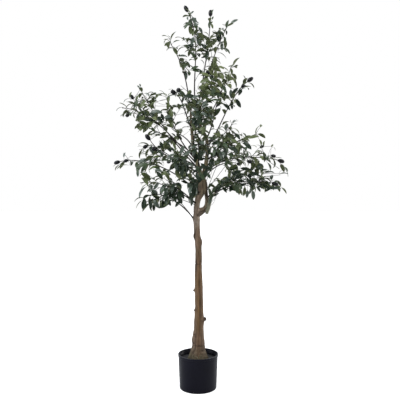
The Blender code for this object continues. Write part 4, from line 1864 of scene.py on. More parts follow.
@dataclass
class Foliage:
    """All the sprays' wires, leaves and olives, joined by kind."""

    grower: Grower
    leaf: LeafForm
    olive: OliveForm
    sprigs: dict[str, Sequence[Sprig]]
    openings: Openings
    set_leaves: Sequence[SetLeaves]
    bare_wires: Sequence[Wire]
    spacing: float = 0.038
    twig_spacing: float = 0.034
    leaf_angle: float = 50.0
    angle_spread: float = 14.0
    leaf_size: Pair = (0.80, 1.08)
    tip_leaf_angle: Pair = (12, 34)
    tip_leaf_size: Pair = (0.65, 0.95)
    leaf_roll: float = 22.0
    leaf_droop: float = 0.05
    curl: Pair = (0.7, 1.7)
    shifts: tuple[float, ...] = (0, 36, -36)
    twiglet_length: Pair = (0.030, 0.050)
    twiglet_angle: float = 46.0
    twiglet_room: float = 0.0012
    stem_sunk: float = 0.004
    stem_olive: float = 1.06
    thin_turn: float = 35.0
    thin_curl: Pair = (0.9, 1.4)
    broad_curl: Pair = (0.5, 0.9)
    stalk_from: float = 0.002
    tries: int = 0
    placed: int = 0
    wires: MeshBin = field(default_factory=lambda: MeshBin("spray_wires"))
    olives: MeshBin = field(default_factory=lambda: MeshBin("olives"))
    leaves: dict[Tint, MeshBin] = field(default_factory=dict)
    shown_by: dict[Tint, set[str]] = field(default_factory=dict)

    def grow(self) -> None:
        """Grows every spray: first all wires and olives, then the leaves."""
        for tint in Tint:
            self.leaves[tint] = MeshBin(f"leaves_{tint.value}")
            self.shown_by[tint] = set()
        leafy = [(spray, self.wire_spray(spray)) for spray in self.grower.sprays]
        for wire in self.bare_wires:
            self.draw(wire)
        arcs = [leafy_wire.wire.arc for _, wires in leafy for leafy_wire in wires]
        self.hang_set_leaves([point for arc in arcs for point in arc.line(20)])
        for spray, wires in leafy:
            self.leaf_spray(spray, wires)
        LOG.info("leaves: %d placed of %d tried", self.placed, self.tries)

    def wire_spray(self, spray: Spray) -> list[LeafyWire]:
        """Draws a spray's wires and olives.

        Args:
            spray: the spray.

        Returns:
            Its wires that bear leaves, the listed sprigs first.
        """
        rng = random.Random(spray.seed + 500)
        stem = Wire(self.grower.stems[spray.name], STEM_GAUGE)
        self.draw(stem, self.stem_sunk)
        grown = []
        for sprig in self.sprigs.get(spray.name, ()):
            wire = Wire(sprig.arc(stem.line(), 0.8 * spray.bare), SPRIG_GAUGE)
            self.draw(wire)
            grown.append(LeafyWire(wire, 0.25, self.twig_spacing, sprig.tint, True, sprig.fruit > 0))
            if sprig.fruit:
                self.hang_olive(wire, sprig.fruit, rng)
        grown.append(LeafyWire(stem, spray.bare, self.spacing, fruit=spray.fruits > 0))
        for arc in self.grower.twigs[spray.name]:
            if self.openings.open_at(arc.tip):
                continue
            twig = Wire(arc, TWIG_GAUGE)
            self.draw(twig)
            grown.append(LeafyWire(twig, 0.22, self.twig_spacing))
            twiglet = self.twiglet(spray, twig, rng)
            if twiglet:
                self.draw(twiglet)
                grown.append(LeafyWire(twiglet, 0.35, self.twig_spacing))
        if spray.fruits:
            self.hang_olive(stem, self.stem_olive, rng)
        return grown

    def twiglet(self, spray: Spray, twig: Wire, rng: Rng) -> Wire | None:
        """A short shoot half way up a twig.

        Args:
            spray: the spray it belongs to.
            twig: the twig it leaves.
            rng: the spray's own chance.

        Returns:
            The shoot, or nothing if it has no room.
        """
        turn = rng.uniform(0, 360)
        length = rng.uniform(*self.twiglet_length)
        arc = Grower.side_arc(twig.line(), 0.5, turn, length, rng.uniform(0, 0.3), self.twiglet_angle)
        if self.grower.owner(arc.tip) != spray.name or self.openings.open_at(arc.tip):
            return None
        wire = Wire(arc, TWIGLET_GAUGE)
        points = wire.line()[1:]
        shape = bent_tube(points, [self.twiglet_room] * len(points))
        return wire if self.grower.room.take(Blocker.of("", shape, shape), "") else None

    def draw(self, wire: Wire, sunk: float = 0.0) -> None:
        """Adds a wire's tube.

        Args:
            wire: the wire.
            sunk: how much further back its foot is sunk.
        """
        line, gauge = wire.line(), wire.gauge
        line[0] = line[0] - sunk * (line[1] - line[0]).normalized()
        radii = taper(gauge.first, gauge.last, gauge.rings)
        radii[0] *= 1.25
        self.wires.add(*tube(line, radii, gauge.sides))

    def hang_olive(self, wire: Wire, share: float, rng: Rng) -> None:
        """Sets an olive at the end of a wire.

        Args:
            wire: the wire.
            share: the olive's size as a share of the usual.
            rng: the spray's own chance.
        """
        end, along = point_on(wire.line(), 1)
        along = (along - 0.15 * UP).normalized()
        size = share * rng.uniform(0.94, 1.06)
        self.olives.add(self.olive.egg(end - 0.001 * along, along, size), self.olive.faces)
        self.grower.room.take(self.olive.proxy(end, along, size), "")

    def hang_set_leaves(self, spine: Sequence[Vector]) -> None:
        """Hangs the listed leaves, each on a short stalk from the nearest wire.

        Args:
            spine: points along all the wires.
        """
        tree = point_tree(spine)
        for group in self.set_leaves:
            rng = random.Random(group.spray)
            for column, row, tip_column, tip_row, tint, turn in group.leaves:
                x, _, z = FRONT_VIEW.place(column, row, group.depth)
                tip_x, _, tip_z = FRONT_VIEW.place(tip_column, tip_row, group.depth)
                root = Vector((MM * x, group.depth + rng.uniform(-0.015, 0.015), MM * z))
                tip = Vector((MM * tip_x, root.y + rng.uniform(-0.010, 0.010), MM * tip_z))
                near, _, gap = tree.find(root)
                chord = (tip - root).normalized()
                if gap > self.stalk_from:
                    way = (root - near).normalized()
                    self.draw(Wire(Arc(near, root, way, (way + chord).normalized()), STALK_GAUGE))
                pose = self.set_pose(root, tip, turn, rng)
                self.grower.room.filled.append(self.leaf.proxy(pose))
                self.add_leaf(pose, tint, f"spray_{group.spray}")

    def set_pose(self, root: Vector, tip: Vector, turn: float, rng: Rng) -> LeafPose:
        """How a listed leaf lies, from its root to its tip.

        Args:
            root: where its stalk starts.
            tip: where its tip ends.
            turn: how far its top is turned from up to the front, in degrees.
            rng: the spray's own chance.

        Returns:
            The leaf's pose.
        """
        curl = rng.uniform(*(self.thin_curl if turn < self.thin_turn else self.broad_curl))
        chord = (tip - root).normalized()
        facing = tipped(UP, -BACK, math.radians(turn))
        face = (facing - facing.dot(chord) * chord).normalized()
        lean = curl / 2.2
        along, face = tipped(chord, face, lean), tipped(face, -chord, lean)
        size = min(1.2, max(0.35, (tip - root).length / (self.leaf.length * (1 - 0.04 * curl**2))))
        return LeafPose(root, along, face, size, curl, rng.uniform(-0.3, 0.3))

    def leaf_places(self, leafy: LeafyWire, rng: Rng) -> list[LeafPlace]:
        """Where leaves grow on a wire: pairs up its length, and two at its tip if no fruit is there.

        Args:
            leafy: the wire.
            rng: the spray's own chance.

        Returns:
            The places, from the lowest up.
        """
        line, first = leafy.wire.line(), leafy.first
        count = max(1, round((1 - first) * line_length(line) / leafy.spacing))
        places = []
        turn = rng.uniform(0, 180)
        for pair in range(count):
            root, wire = point_on(line, first + (1 - first) * (pair + 0.35) / count)
            for half in (0, 180):
                angle = self.leaf_angle + rng.uniform(-self.angle_spread, self.angle_spread)
                size = rng.uniform(*self.leaf_size) * (1 - 0.12 * pair / count)
                places.append(LeafPlace(root, wire, turn + half, angle, size))
            turn += 90 + rng.uniform(-25, 25)
        end, wire = point_on(line, 1)
        for half in () if leafy.fruit else (0, 180):
            angle, size = rng.uniform(*self.tip_leaf_angle), rng.uniform(*self.tip_leaf_size)
            places.append(LeafPlace(end, wire, turn + half, angle, size))
        return places

    def leaf_spray(self, spray: Spray, wires: Sequence[LeafyWire]) -> None:
        """Grows a spray's leaves on its wires.

        Args:
            spray: the spray.
            wires: its wires that bear leaves.
        """
        rng = random.Random(spray.seed + 1000)
        for leafy in wires:
            tint = leafy.tint or self.deal(spray, rng)
            for place in self.leaf_places(leafy, rng):
                own = tint if rng.random() < 0.75 else self.deal(spray, rng)
                self.tries += 1
                self.grow_leaf(spray, place, own, leafy.roaming, rng)

    @staticmethod
    def deal(spray: Spray, rng: Rng) -> Tint:
        """One of a spray's tints, the first one half of the time."""
        return spray.tints[0] if rng.random() < 0.5 else rng.choice(spray.tints)

    def grow_leaf(self, spray: Spray, place: LeafPlace, tint: Tint, roaming: bool, rng: Rng) -> None:
        """Grows one leaf, turned about its wire until it finds room, or leaves it out.

        Args:
            spray: the spray it belongs to.
            place: where it grows.
            tint: its colour.
            roaming: whether it may reach into another spray's space.
            rng: the spray's own chance.
        """
        roll, curl, twist = rng.gauss(0, self.leaf_roll), rng.uniform(*self.curl), rng.uniform(-0.5, 0.5)
        for shift in self.shifts:
            side = Quaternion(place.wire, math.radians(place.turn + shift)) @ sideways(place.wire)
            along = tipped(place.wire, side, math.radians(place.angle)) - self.leaf_droop * UP
            along.normalize()
            face = UP - UP.dot(along) * along
            if face.length < 0.1:
                face = along.orthogonal()
            face.normalize()
            face = Quaternion(along, math.radians(roll)) @ face
            reach = place.root + 0.6 * self.leaf.length * place.size * along
            if not roaming and self.grower.owner(reach) != spray.name:
                continue
            pose = LeafPose(place.root, along, face, place.size, curl, twist)
            blocker = self.leaf.proxy(pose)
            _, left, right, tip = blocker.points
            if self.openings.open_at(left.lerp(right, 0.5)) or self.openings.open_at(tip):
                continue
            if self.grower.room.take(blocker, ""):
                self.add_leaf(pose, tint, spray.node)
                self.placed += 1
                return

    def add_leaf(self, pose: LeafPose, tint: Tint, node: str) -> None:
        """Adds a leaf of a tint, which then shows its spray's CAD node."""
        self.leaves[tint].add(self.leaf.blade(pose), self.leaf.faces, self.leaf.slots)
        self.shown_by[tint].add(node)

    def place(
        self, tops: dict[Tint, LeafFinish], under: LeafFinish, wrap: WrapFinish, fruit: FruitFinish
    ) -> None:
        """Puts the joined pieces in the place of the CAD sprays.

        Args:
            tops: the finish of each tint's upper side.
            under: the finish of all undersides.
            wrap: the wires' finish.
            fruit: the olives' finish.
        """
        names = [spray.node for spray in self.grower.sprays]
        wires = self.wires.piece(Slot.WIRE, wrap.material())
        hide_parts(*names)
        olives = self.olives.piece(Slot.OLIVE, fruit.material())
        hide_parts(*[spray.node for spray in self.grower.sprays if spray.fruits])
        back = under.material()
        for tint, bin_ in self.leaves.items():
            piece = bin_.piece(Slot.FOLIAGE, tops[tint].material(), back)
            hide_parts(*sorted(self.shown_by[tint]))


@dataclass(frozen=True)
class WrappedFoot:
    """The thick mossy wrapping round the foot of one spray's stem.

    It starts at its own foot, below the stem's, and ends a share of the way up the stem.
    """

    spray: str
    foot: tuple[Triple, ...]
    share: float
    radii: tuple[float, ...] = (0.0060, 0.0076, 0.0084, 0.0058, 0.0036, 0.0028)
    rings: int = 46
    sides: int = 14
    roughness: float = 0.22
    lump_scale: float = 150
    finish: WrapFinish = WrapFinish(
        "mossy_wrap", (0.125, 0.125, 0.078), 0.9, gloss=0.3, other=(0.270, 0.265, 0.190)
    )

    def build(self, grower: Grower) -> Piece:
        """Winds the wrapping round the stem.

        Args:
            grower: the grown sprays.

        Returns:
            The placed piece.
        """
        stem = grower.stems[self.spray].line(24)
        ends = [point_on(stem, self.share * step / 3)[0] for step in range(1, 4)]
        line = smooth_line([*self.foot, *ends], self.rings)
        places = np.linspace(0, len(self.radii) - 1, self.rings)
        radii = np.interp(places, range(len(self.radii)), self.radii).tolist()
        vertices, faces = tube(line, radii, self.sides)
        middles = np.repeat(np.array(line), self.sides, axis=0)
        rough = [1 + self.roughness * noise.noise(Vector(place) * self.lump_scale) for place in vertices]
        vertices = middles + (vertices - middles) * np.array(rough)[:, None]
        bin_ = MeshBin("wrapped_foot")
        bin_.add(vertices, faces)
        return bin_.piece(Slot.WIRE, self.finish.material())


# ---------- studio


@dataclass(frozen=True)
class SoftBox:
    """A square soft light, turned to the middle of the tree."""

    name: str
    place: Triple
    size: float
    power: float
    color: Color
    target: Triple = (0, 0, 0.85)

    def hang(self) -> None:
        """Hangs the light."""
        data = bpy.data.lights.new(self.name, "AREA")
        data.shape, data.size, data.energy, data.color = "SQUARE", self.size, self.power, self.color
        lamp = new_object(self.name, data)
        lamp.location = self.place
        towards = Vector(self.target) - Vector(self.place)
        lamp.rotation_euler = towards.to_track_quat("-Z", "Y").to_euler()


@dataclass
class Studio:
    """The camera, the pale floor and the soft lights."""

    camera_place: Triple = CAMERA_PLACE
    lens: float = 45.5
    sensor: float = 36.0
    floor_size: float = 60.0
    floor_place: float = -0.0002
    floor_finish: FloorFinish = FloorFinish("pale_floor", (0.45, 0.45, 0.45), 0.9, 0.85)
    front_light: float = 0.42
    back_light: float = 1.10
    sky: Color = (0.94, 0.97, 1.0)
    boxes: tuple[SoftBox, ...] = (
        SoftBox("key", (-1.8, -1.9, 2.7), 1.1, 66.0, (0.96, 0.98, 1.0)),
        SoftBox("left_strip", (-2.3, -0.5, 0.9), 0.8, 20.0, (0.80, 0.88, 1.0)),
        SoftBox("fill", (2.3, -1.5, 1.6), 1.2, 17.0, (1.0, 0.96, 0.90)),
        SoftBox("rim", (0.5, 2.0, 2.9), 1.4, 26.0, (1.0, 1.0, 1.0)),
        SoftBox("right_strip", (2.0, 0.8, 0.7), 0.7, 21.0, (1.0, 0.99, 0.97)),
    )

    def build(self) -> None:
        """Sets up the studio."""
        self.set_camera()
        self.lay_floor()
        self.light_world()
        for box in self.boxes:
            box.hang()

    def set_camera(self) -> None:
        """Stands the camera level in front of the tree."""
        data = bpy.data.cameras.new("camera")
        data.lens = self.lens
        data.sensor_width = self.sensor
        camera = new_object("camera", data)
        camera.location = self.camera_place
        camera.rotation_euler = (math.radians(90), 0, 0)
        bpy.context.scene.camera = camera

    def lay_floor(self) -> None:
        """Lays the floor."""
        mesh = bpy.data.meshes.new("floor")
        half = self.floor_size / 2
        corners = [(-half, -half, 0), (half, -half, 0), (half, half, 0), (-half, half, 0)]
        mesh.from_pydata(corners, [], [(0, 1, 2, 3)])
        mesh.materials.append(self.floor_finish.material())
        floor = new_object("floor", mesh)
        floor.location.z = self.floor_place

    def light_world(self) -> None:
        """Sets the surrounding light, weak in front and strong behind, and white where it is seen."""
        world = bpy.data.worlds.new("studio")
        world.use_nodes = True
        world.node_tree.nodes.clear()
        sheet = NodeSheet(world.node_tree)
        _, back, up = sheet.add("SeparateXYZ", {0: sheet.add("TexCoord").outputs["Generated"]}).outputs
        depth = sheet.spread(back, -1.0, 1.0, self.front_light, self.back_light)
        strength = sheet.math("MULTIPLY", depth, sheet.spread(up, -0.2, 1.0, 0.85, 1.6), clamp=False)
        around = sheet.add("Background", {0: self.sky, 1: strength})
        seen = sheet.add("Background", {0: (1.0, 1.0, 1.0), 1: 1.0})
        direct = sheet.add("LightPath").outputs["Is Camera Ray"]
        both = sheet.add("MixShader", {0: direct, 1: around.outputs[0], 2: seen.outputs[0]})
        sheet.add("OutputWorld", {0: both.outputs[0]})
        bpy.context.scene.world = world
        bpy.context.scene.view_settings.view_transform = "Standard"


# ---------- the tree itself


TRUNK = Limb(
    "barked_trunk",
    (
        (0.114, 0.000, 0.000, 0.0425), (0.129, 0.000, 0.000, 0.0395), (0.143, 0.000, 0.000, 0.0350),
        (0.156, 0.000, 0.001, 0.0310), (0.172, 0.001, 0.001, 0.0280), (0.202, 0.001, 0.001, 0.0256),
        (0.250, 0.003, 0.000, 0.0214), (0.320, 0.004, -0.002, 0.0180), (0.410, 0.003, -0.003, 0.0170),
        (0.490, 0.001, -0.001, 0.0153), (0.550, 0.002, 0.001, 0.0137), (0.615, 0.000, 0.002, 0.0133),
        (0.645, -0.003, 0.002, 0.0124), (0.700, -0.0065, 0.001, 0.0131), (0.770, -0.006, 0.000, 0.0125),
    ),
    low=FILL_TOP + GAP,
    high=0.760,
    sides=96,
    knots=(
        Knot(0.160, 305, 0.0000, 0.007, 0.9), Knot(0.182, 280, 0.0000, 0.006, 0.8),
        Knot(0.190, 224, 0.0006, 0.009, 1.0), Knot(0.203, 206, 0.0042, 0.009),
        Knot(0.226, 228, 0.0022, 0.008, 0.9), Knot(0.246, 296, 0.0000, 0.005, 0.7),
        Knot(0.284, -6, 0.0052, 0.012, 0.0), Knot(0.325, 182, 0.0024, 0.006, 0.6),
        Knot(0.409, 186, 0.0030, 0.008, 0.5), Knot(0.531, 312, 0.0004, 0.010, 1.0),
        Knot(0.545, 250, 0.0016, 0.014, 0.0), Knot(0.611, 345, 0.0042, 0.011, 0.3),
        Knot(0.633, 188, 0.0058, 0.011, 0.0), Knot(0.707, 192, 0.0036, 0.010, 0.0),
        Knot(0.702, 355, 0.0016, 0.010, 0.0),
    ),
    creases=(0.178, 0.519),
)
LEADING_BOUGH = Limb(
    "barked_leading_bough",
    (
        (0.750, -0.006, 0.000, 0.0125), (0.798, -0.001, 0.003, 0.0114), (0.838, 0.010, 0.009, 0.0113),
        (0.882, 0.021, 0.012, 0.0104), (0.941, 0.033, 0.011, 0.0086), (1.000, 0.039, 0.008, 0.0075),
        (1.050, 0.033, 0.006, 0.0066), (1.097, 0.010, 0.006, 0.0058), (1.151, 0.000, 0.007, 0.0050),
        (1.200, -0.006, 0.006, 0.0041),
    ),
    low=0.7585,
    relief=0.8,
)
LEFT_BOUGH = Limb(
    "barked_left_bough",
    (
        (0.743, -0.006, -0.001, 0.0105), (0.748, 0.020, -0.002, 0.0084), (0.765, 0.034, -0.004, 0.0072),
        (0.796, 0.035, -0.007, 0.0068), (0.840, 0.028, -0.013, 0.0090), (0.887, 0.012, -0.015, 0.0098),
        (0.941, -0.003, -0.013, 0.0086), (0.996, -0.019, -0.010, 0.0075), (1.055, -0.024, -0.010, 0.0065),
        (1.118, -0.030, -0.012, 0.0055), (1.168, -0.030, -0.014, 0.0045),
    ),
    relief=0.8,
)
CROTCH = Limb(
    "barked_crotch",
    (
        (0.772, -0.002, 0.001, 0.0100), (0.788, 0.001, 0.001, 0.0108), (0.797, 0.0045, 0.000, 0.0112),
        (0.806, 0.0095, -0.001, 0.0112), (0.818, 0.015, -0.003, 0.0130), (0.838, 0.0190, -0.002, 0.0200),
        (0.860, 0.0180, -0.003, 0.0185), (0.885, 0.0155, -0.005, 0.0120), (0.905, 0.013, -0.006, 0.0080),
    ),
    relief=1.1,
)
ELBOW_WEB = Limb(
    "barked_elbow_web",
    (
        (0.720, -0.006, -0.001, 0.0115), (0.731, 0.010, -0.002, 0.0105), (0.741, 0.026, -0.004, 0.0080),
        (0.747, 0.036, -0.006, 0.0055),
    ),
    sides=48,
    # painted shade: the web under the elbow is painted dark all over
    shade=0.7,
)
PRUNED_STUBS = PrunedStubs(
    (
        Stub(0.287, -30, 8, 0.0120, 0.0095, 0.12), Stub(0.4060, 186, 8, 0.0060, 0.0052, 0.2),
        Stub(0.325, 204, 5, 0.0040, 0.0044, 0.2),
    )
)
TRUNK_RINGS = 22
BOUGH_RINGS = 20
TOP_FOOT = TREE_HEIGHT - 0.0245
DEEP, MID, OLIVE, YOUNG, GREY = Tint
DARK = (DEEP, MID, DEEP, GREY)
GREEN = (MID, DEEP, OLIVE, GREY)
LIGHT = (OLIVE, YOUNG, MID, GREY)
FRESH = (YOUNG, OLIVE, MID)
SPRAYS = (
    Spray("top_left", Host.LEFT, 1.160, (-0.115, 0.03, 1.447), 88, 55, 0.26, 3, 0, 3, GREEN, 0.13),
    Spray("top_centre", Host.LEADING, 1.192, (-0.043, 0.00, TOP_FOOT), 84, 62, 0.22, 6, 1, 5, DARK, 0.12),
    Spray("top_right", Host.LEADING, 1.180, (0.051, -0.03, 1.545), 80, 88, 0.30, 4, 1, 8, DARK, 0.12),
    Spray("top_far_right", Host.LEADING, 1.150, (0.124, 0.05, 1.529), 80, 62, 0.46, 4, 0, 9, GREEN, 0.15),
    Spray("crest_front", Host.LEADING, 1.110, (0.062, -0.12, 1.316), 60, 80, 0.28, 4, 0, 11, FRESH, 0.22),
    Spray("crest_inner", Host.LEADING, 1.050, (0.095, -0.05, 1.236), 55, 60, 0.25, 4, 0, 14, LIGHT),
    Spray("crest_right", Host.LEADING, 1.090, (0.143, 0.08, 1.365), 58, 70, 0.36, 4, 0, 13, FRESH, 0.16),
    Spray("high_right", Host.LEADING, 1.020, (0.207, 0.00, 1.283), 56, 40, 0.40, 3, 1, 16, DARK, 0.14),
    Spray("crest_left", Host.LEFT, 1.095, (-0.090, -0.10, 1.212), 50, 15, 0.30, 4, 1, 17, DARK, 0.20),
    Spray("high_left", Host.LEFT, 0.930, (-0.249, 0.03, 1.263), 46, 62, 0.42, 4, 0, 20, LIGHT, 0.15),
    Spray("far_high_left", Host.LEFT, 0.950, (-0.313, -0.04, 1.165), 46, 2, 0.38, 4, 0, 21, LIGHT, 0.18),
    Spray("side_left", Host.LEFT, 0.980, (-0.240, 0.00, 1.100), 40, 20, 0.40, 3, 0, 22, LIGHT, 0.22),
    Spray("upright_left", Host.LEFT, 0.965, (-0.133, 0.08, 1.235), 42, 88, 0.36, 4, 0, 23, GREEN, 0.13),
    Spray("middle_left", Host.LEFT, 0.900, (-0.196, -0.06, 1.031), 34, 58, 0.34, 4, 1, 24, GREEN, 0.24),
    Spray("inner_left", Host.LEADING, 0.835, (-0.160, -0.14, 0.985), 45, 10, 0.26, 5, 1, 26, DARK),
    Spray("far_left", Host.LEADING, 0.825, (-0.331, 0.02, 0.949), 44, -12, 0.36, 5, 1, 27, GREEN),
    Spray("low_left", Host.TRUNK, 0.712, (-0.213, -0.05, 0.798), 54, -34, 0.38, 4, 0, 29, DARK),
    Spray("low_front_left", Host.LEADING, 0.775, (-0.120, -0.15, 0.835), 24, -15, 0.30, 4, 0, 30, DARK),
    Spray("low_back_left", Host.LEADING, 0.775, (-0.255, 0.10, 0.861), 36, -10, 0.38, 4, 0, 31, GREEN),
    Spray("far_right", Host.LEADING, 0.905, (0.340, 0.03, 0.956), 48, -10, 0.32, 4, 1, 33, LIGHT),
    Spray("low_far_right", Host.LEFT, 0.800, (0.303, -0.05, 0.856), 48, -10, 0.34, 5, 1, 35, DARK),
    Spray("middle_right", Host.LEADING, 0.960, (0.241, -0.04, 1.058), 44, 20, 0.26, 5, 0, 37, LIGHT, 0.22),
    Spray("back_right", Host.LEADING, 0.990, (0.150, 0.12, 1.123), 52, 50, 0.32, 4, 0, 39, LIGHT),
    Spray("low_right", Host.LEFT, 0.790, (0.285, 0.09, 0.862), 44, 0, 0.36, 4, 1, 41, DARK),
    Spray("low_front_right", Host.LEFT, 0.765, (0.140, -0.12, 0.860), 56, -12, 0.26, 5, 0, 43, GREEN),
    Spray("front_left", Host.LEFT, 0.905, (-0.081, -0.22, 0.945), 36, 8, 0.28, 4, 0, 45, DARK),
    Spray("front_centre", Host.LEFT, 0.925, (0.004, -0.17, 1.010), 40, 15, 0.20, 5, 0, 47, DARK),
    Spray("front_crest", Host.LEFT, 1.020, (0.012, -0.15, 1.150), 48, 30, 0.24, 4, 0, 48, DARK),
    Spray("front_right", Host.LEADING, 0.868, (0.095, -0.21, 1.000), 66, 8, 0.30, 4, 0, 49, GREEN),
    Spray("front_low", Host.LEADING, 0.815, (-0.030, -0.19, 0.850), 40, -12, 0.26, 4, 0, 51, DARK),
    Spray("back_low_left", Host.LEADING, 0.860, (-0.130, 0.22, 0.965), 40, 0, 0.32, 4, 1, 53, GREEN),
    Spray("back_low_right", Host.LEADING, 0.880, (0.180, 0.21, 0.955), 44, -5, 0.32, 4, 1, 55, DARK),
    Spray("back_high", Host.LEADING, 1.060, (0.020, 0.18, 1.225), 48, 34, 0.28, 4, 1, 57, GREEN, 0.22),
    Spray("back_low", Host.TRUNK, 0.735, (0.010, 0.24, 0.850), 50, -10, 0.36, 3, 0, 59, DARK),
    Spray("back_left", Host.LEFT, 1.010, (-0.120, 0.17, 1.110), 46, 30, 0.32, 4, 0, 61, GREEN),
)
SPRIG_ROWS = {
    "top_centre": (
        (190.5, 16.5, -0.02, MID), (186.5, 24, 0.02, MID), (197.5, 24, -0.03, GREY), (201, 31, 0.02, GREY),
        (184, 40, -0.04, DEEP), (187, 47.5, 0.02, DEEP), (199.5, 45, -0.05, DEEP), (203, 70, -0.03, OLIVE),
    ),
    "top_left": ((169, 37.5, 0.05, GREY),),
    "top_right": ((213.5, 42, -0.05, DEEP), (204.5, 46, -0.06, DEEP), (208.5, 55, -0.05, DEEP)),
    "top_far_right": (
        (219.5, 31, 0.02, DEEP), (226.5, 38, 0.06, MID), (212.5, 49, 0.03, YOUNG), (222.5, 49, 0.05, GREY),
        (219.5, 58, 0.06, GREY),
    ),
    "crest_front": ((209.6, 73.5, -0.12, YOUNG, 0.85), (219, 78, -0.12, YOUNG)),
    "crest_right": ((236, 66, 0.08, YOUNG), (230, 74, 0.1, OLIVE)),
    "high_right": ((241.6, 87, -0.02, DEEP, 0.85), (239, 99, -0.02, DEEP), (231.5, 101, 0.02, DEEP)),
    "crest_left": ((177.6, 91.2, -0.11, DEEP, 1.0), (186, 96, -0.09, GREY), (192, 99, -0.1, MID)),
    "front_crest": (
        (203, 94, -0.12, DEEP), (209, 101, -0.13, MID), (205, 112, -0.13, DEEP), (196, 105, -0.12, MID),
        (195.5, 118, -0.12, DEEP), (207, 120, -0.12, GREY),
    ),
    "back_high": ((196, 90, 0.12, DEEP),),
    "high_left": ((152, 93, 0.05, GREY), (155.5, 100, 0.02, OLIVE), (135, 104, 0.02, MID)),
    "far_high_left": ((129.5, 112.3, -0.03, MID, 1.0), (133.3, 99.3, -0.05, OLIVE, 0.8)),
    "side_left": (
        (136, 121, 0.01, OLIVE), (145, 128, -0.02, YOUNG), (154, 119, -0.03, GREY), (139, 116, 0.0, DEEP),
        (149, 115, 0.01, DEEP),
    ),
    "upright_left": ((163, 96, 0.08, MID), (177, 122, 0.05, OLIVE), (182, 107, 0.06, GREY)),
    "middle_left": (
        (147.5, 145.8, -0.08, DEEP, 0.95), (160, 147.5, -0.09, MID, 0.85), (139, 150, -0.05, GREY),
    ),
    "far_left": ((127.8, 160, 0.0, MID, 0.85), (121, 167.5, 0.03, GREY), (123, 153, 0.02, MID)),
    "low_left": (
        (143, 200, -0.05, DEEP), (150.5, 203, -0.04, GREY), (158, 201, -0.06, DEEP), (166, 203, -0.05, MID),
    ),
    "low_front_left": (
        (169, 196, -0.15, DEEP), (175, 183, -0.16, DEEP), (181, 190, -0.15, DEEP), (163, 178, -0.12, OLIVE),
    ),
    "front_low": (
        (186, 178, -0.18, DEEP), (189, 170, -0.16, DEEP), (189, 181, -0.16, DEEP), (190.5, 194, -0.15, DEEP),
    ),
    "front_left": ((182, 165, -0.22, DEEP), (170, 168, -0.21, DEEP)),
    "back_right": ((230, 120, 0.13, OLIVE), (237, 124, 0.12, MID)),
    "middle_right": (
        (260, 128, -0.03, GREY), (251, 136, -0.05, YOUNG), (243, 142, -0.06, DEEP), (236, 136, -0.04, OLIVE),
        (247, 151, -0.07, MID),
    ),
    "far_right": ((260, 147.5, 0.02, YOUNG, 0.75), (271.5, 155.5, -0.01, MID, 0.9), (284, 168, 0.03, GREY)),
    "low_far_right": (
        (281, 187, -0.05, DEEP), (274, 180, -0.03, GREY), (256, 171, -0.05, DEEP), (248, 176, -0.06, DEEP),
        (263, 178, -0.05, MID), (239, 173, -0.05, DEEP),
    ),
    "low_right": (
        (253, 190, 0.08, GREY), (246, 189, 0.09, DEEP), (231, 177, 0.07, MID), (241, 183, 0.08, DEEP),
    ),
    "low_front_right": (
        (226, 186, -0.12, DEEP), (235, 190, -0.11, DEEP), (219, 190, -0.1, MID), (221, 180, -0.1, OLIVE),
    ),
    "front_centre": (
        (203, 128, -0.14, MID), (194.5, 132, -0.13, OLIVE), (198, 141, -0.15, MID), (193, 145, -0.14, DEEP),
        (200, 150, -0.16, DEEP), (211, 144, -0.15, DEEP), (208.7, 141, -0.15, DEEP, 0.8),
    ),
    "front_right": (
        (219, 140, -0.17, MID), (228, 147, -0.18, DEEP), (236, 154, -0.18, MID), (220, 155, -0.19, DEEP),
        (228, 160, -0.17, OLIVE), (247, 161, -0.1, MID, 0.85),
    ),
    "inner_left": (
        (186, 160, -0.13, MID), (178, 155, -0.14, DEEP), (177, 166, -0.14, MID), (164, 150, -0.12, DEEP),
    ),
}
SPRIGS = {name: [Sprig(*row) for row in rows] for name, rows in SPRIG_ROWS.items()}
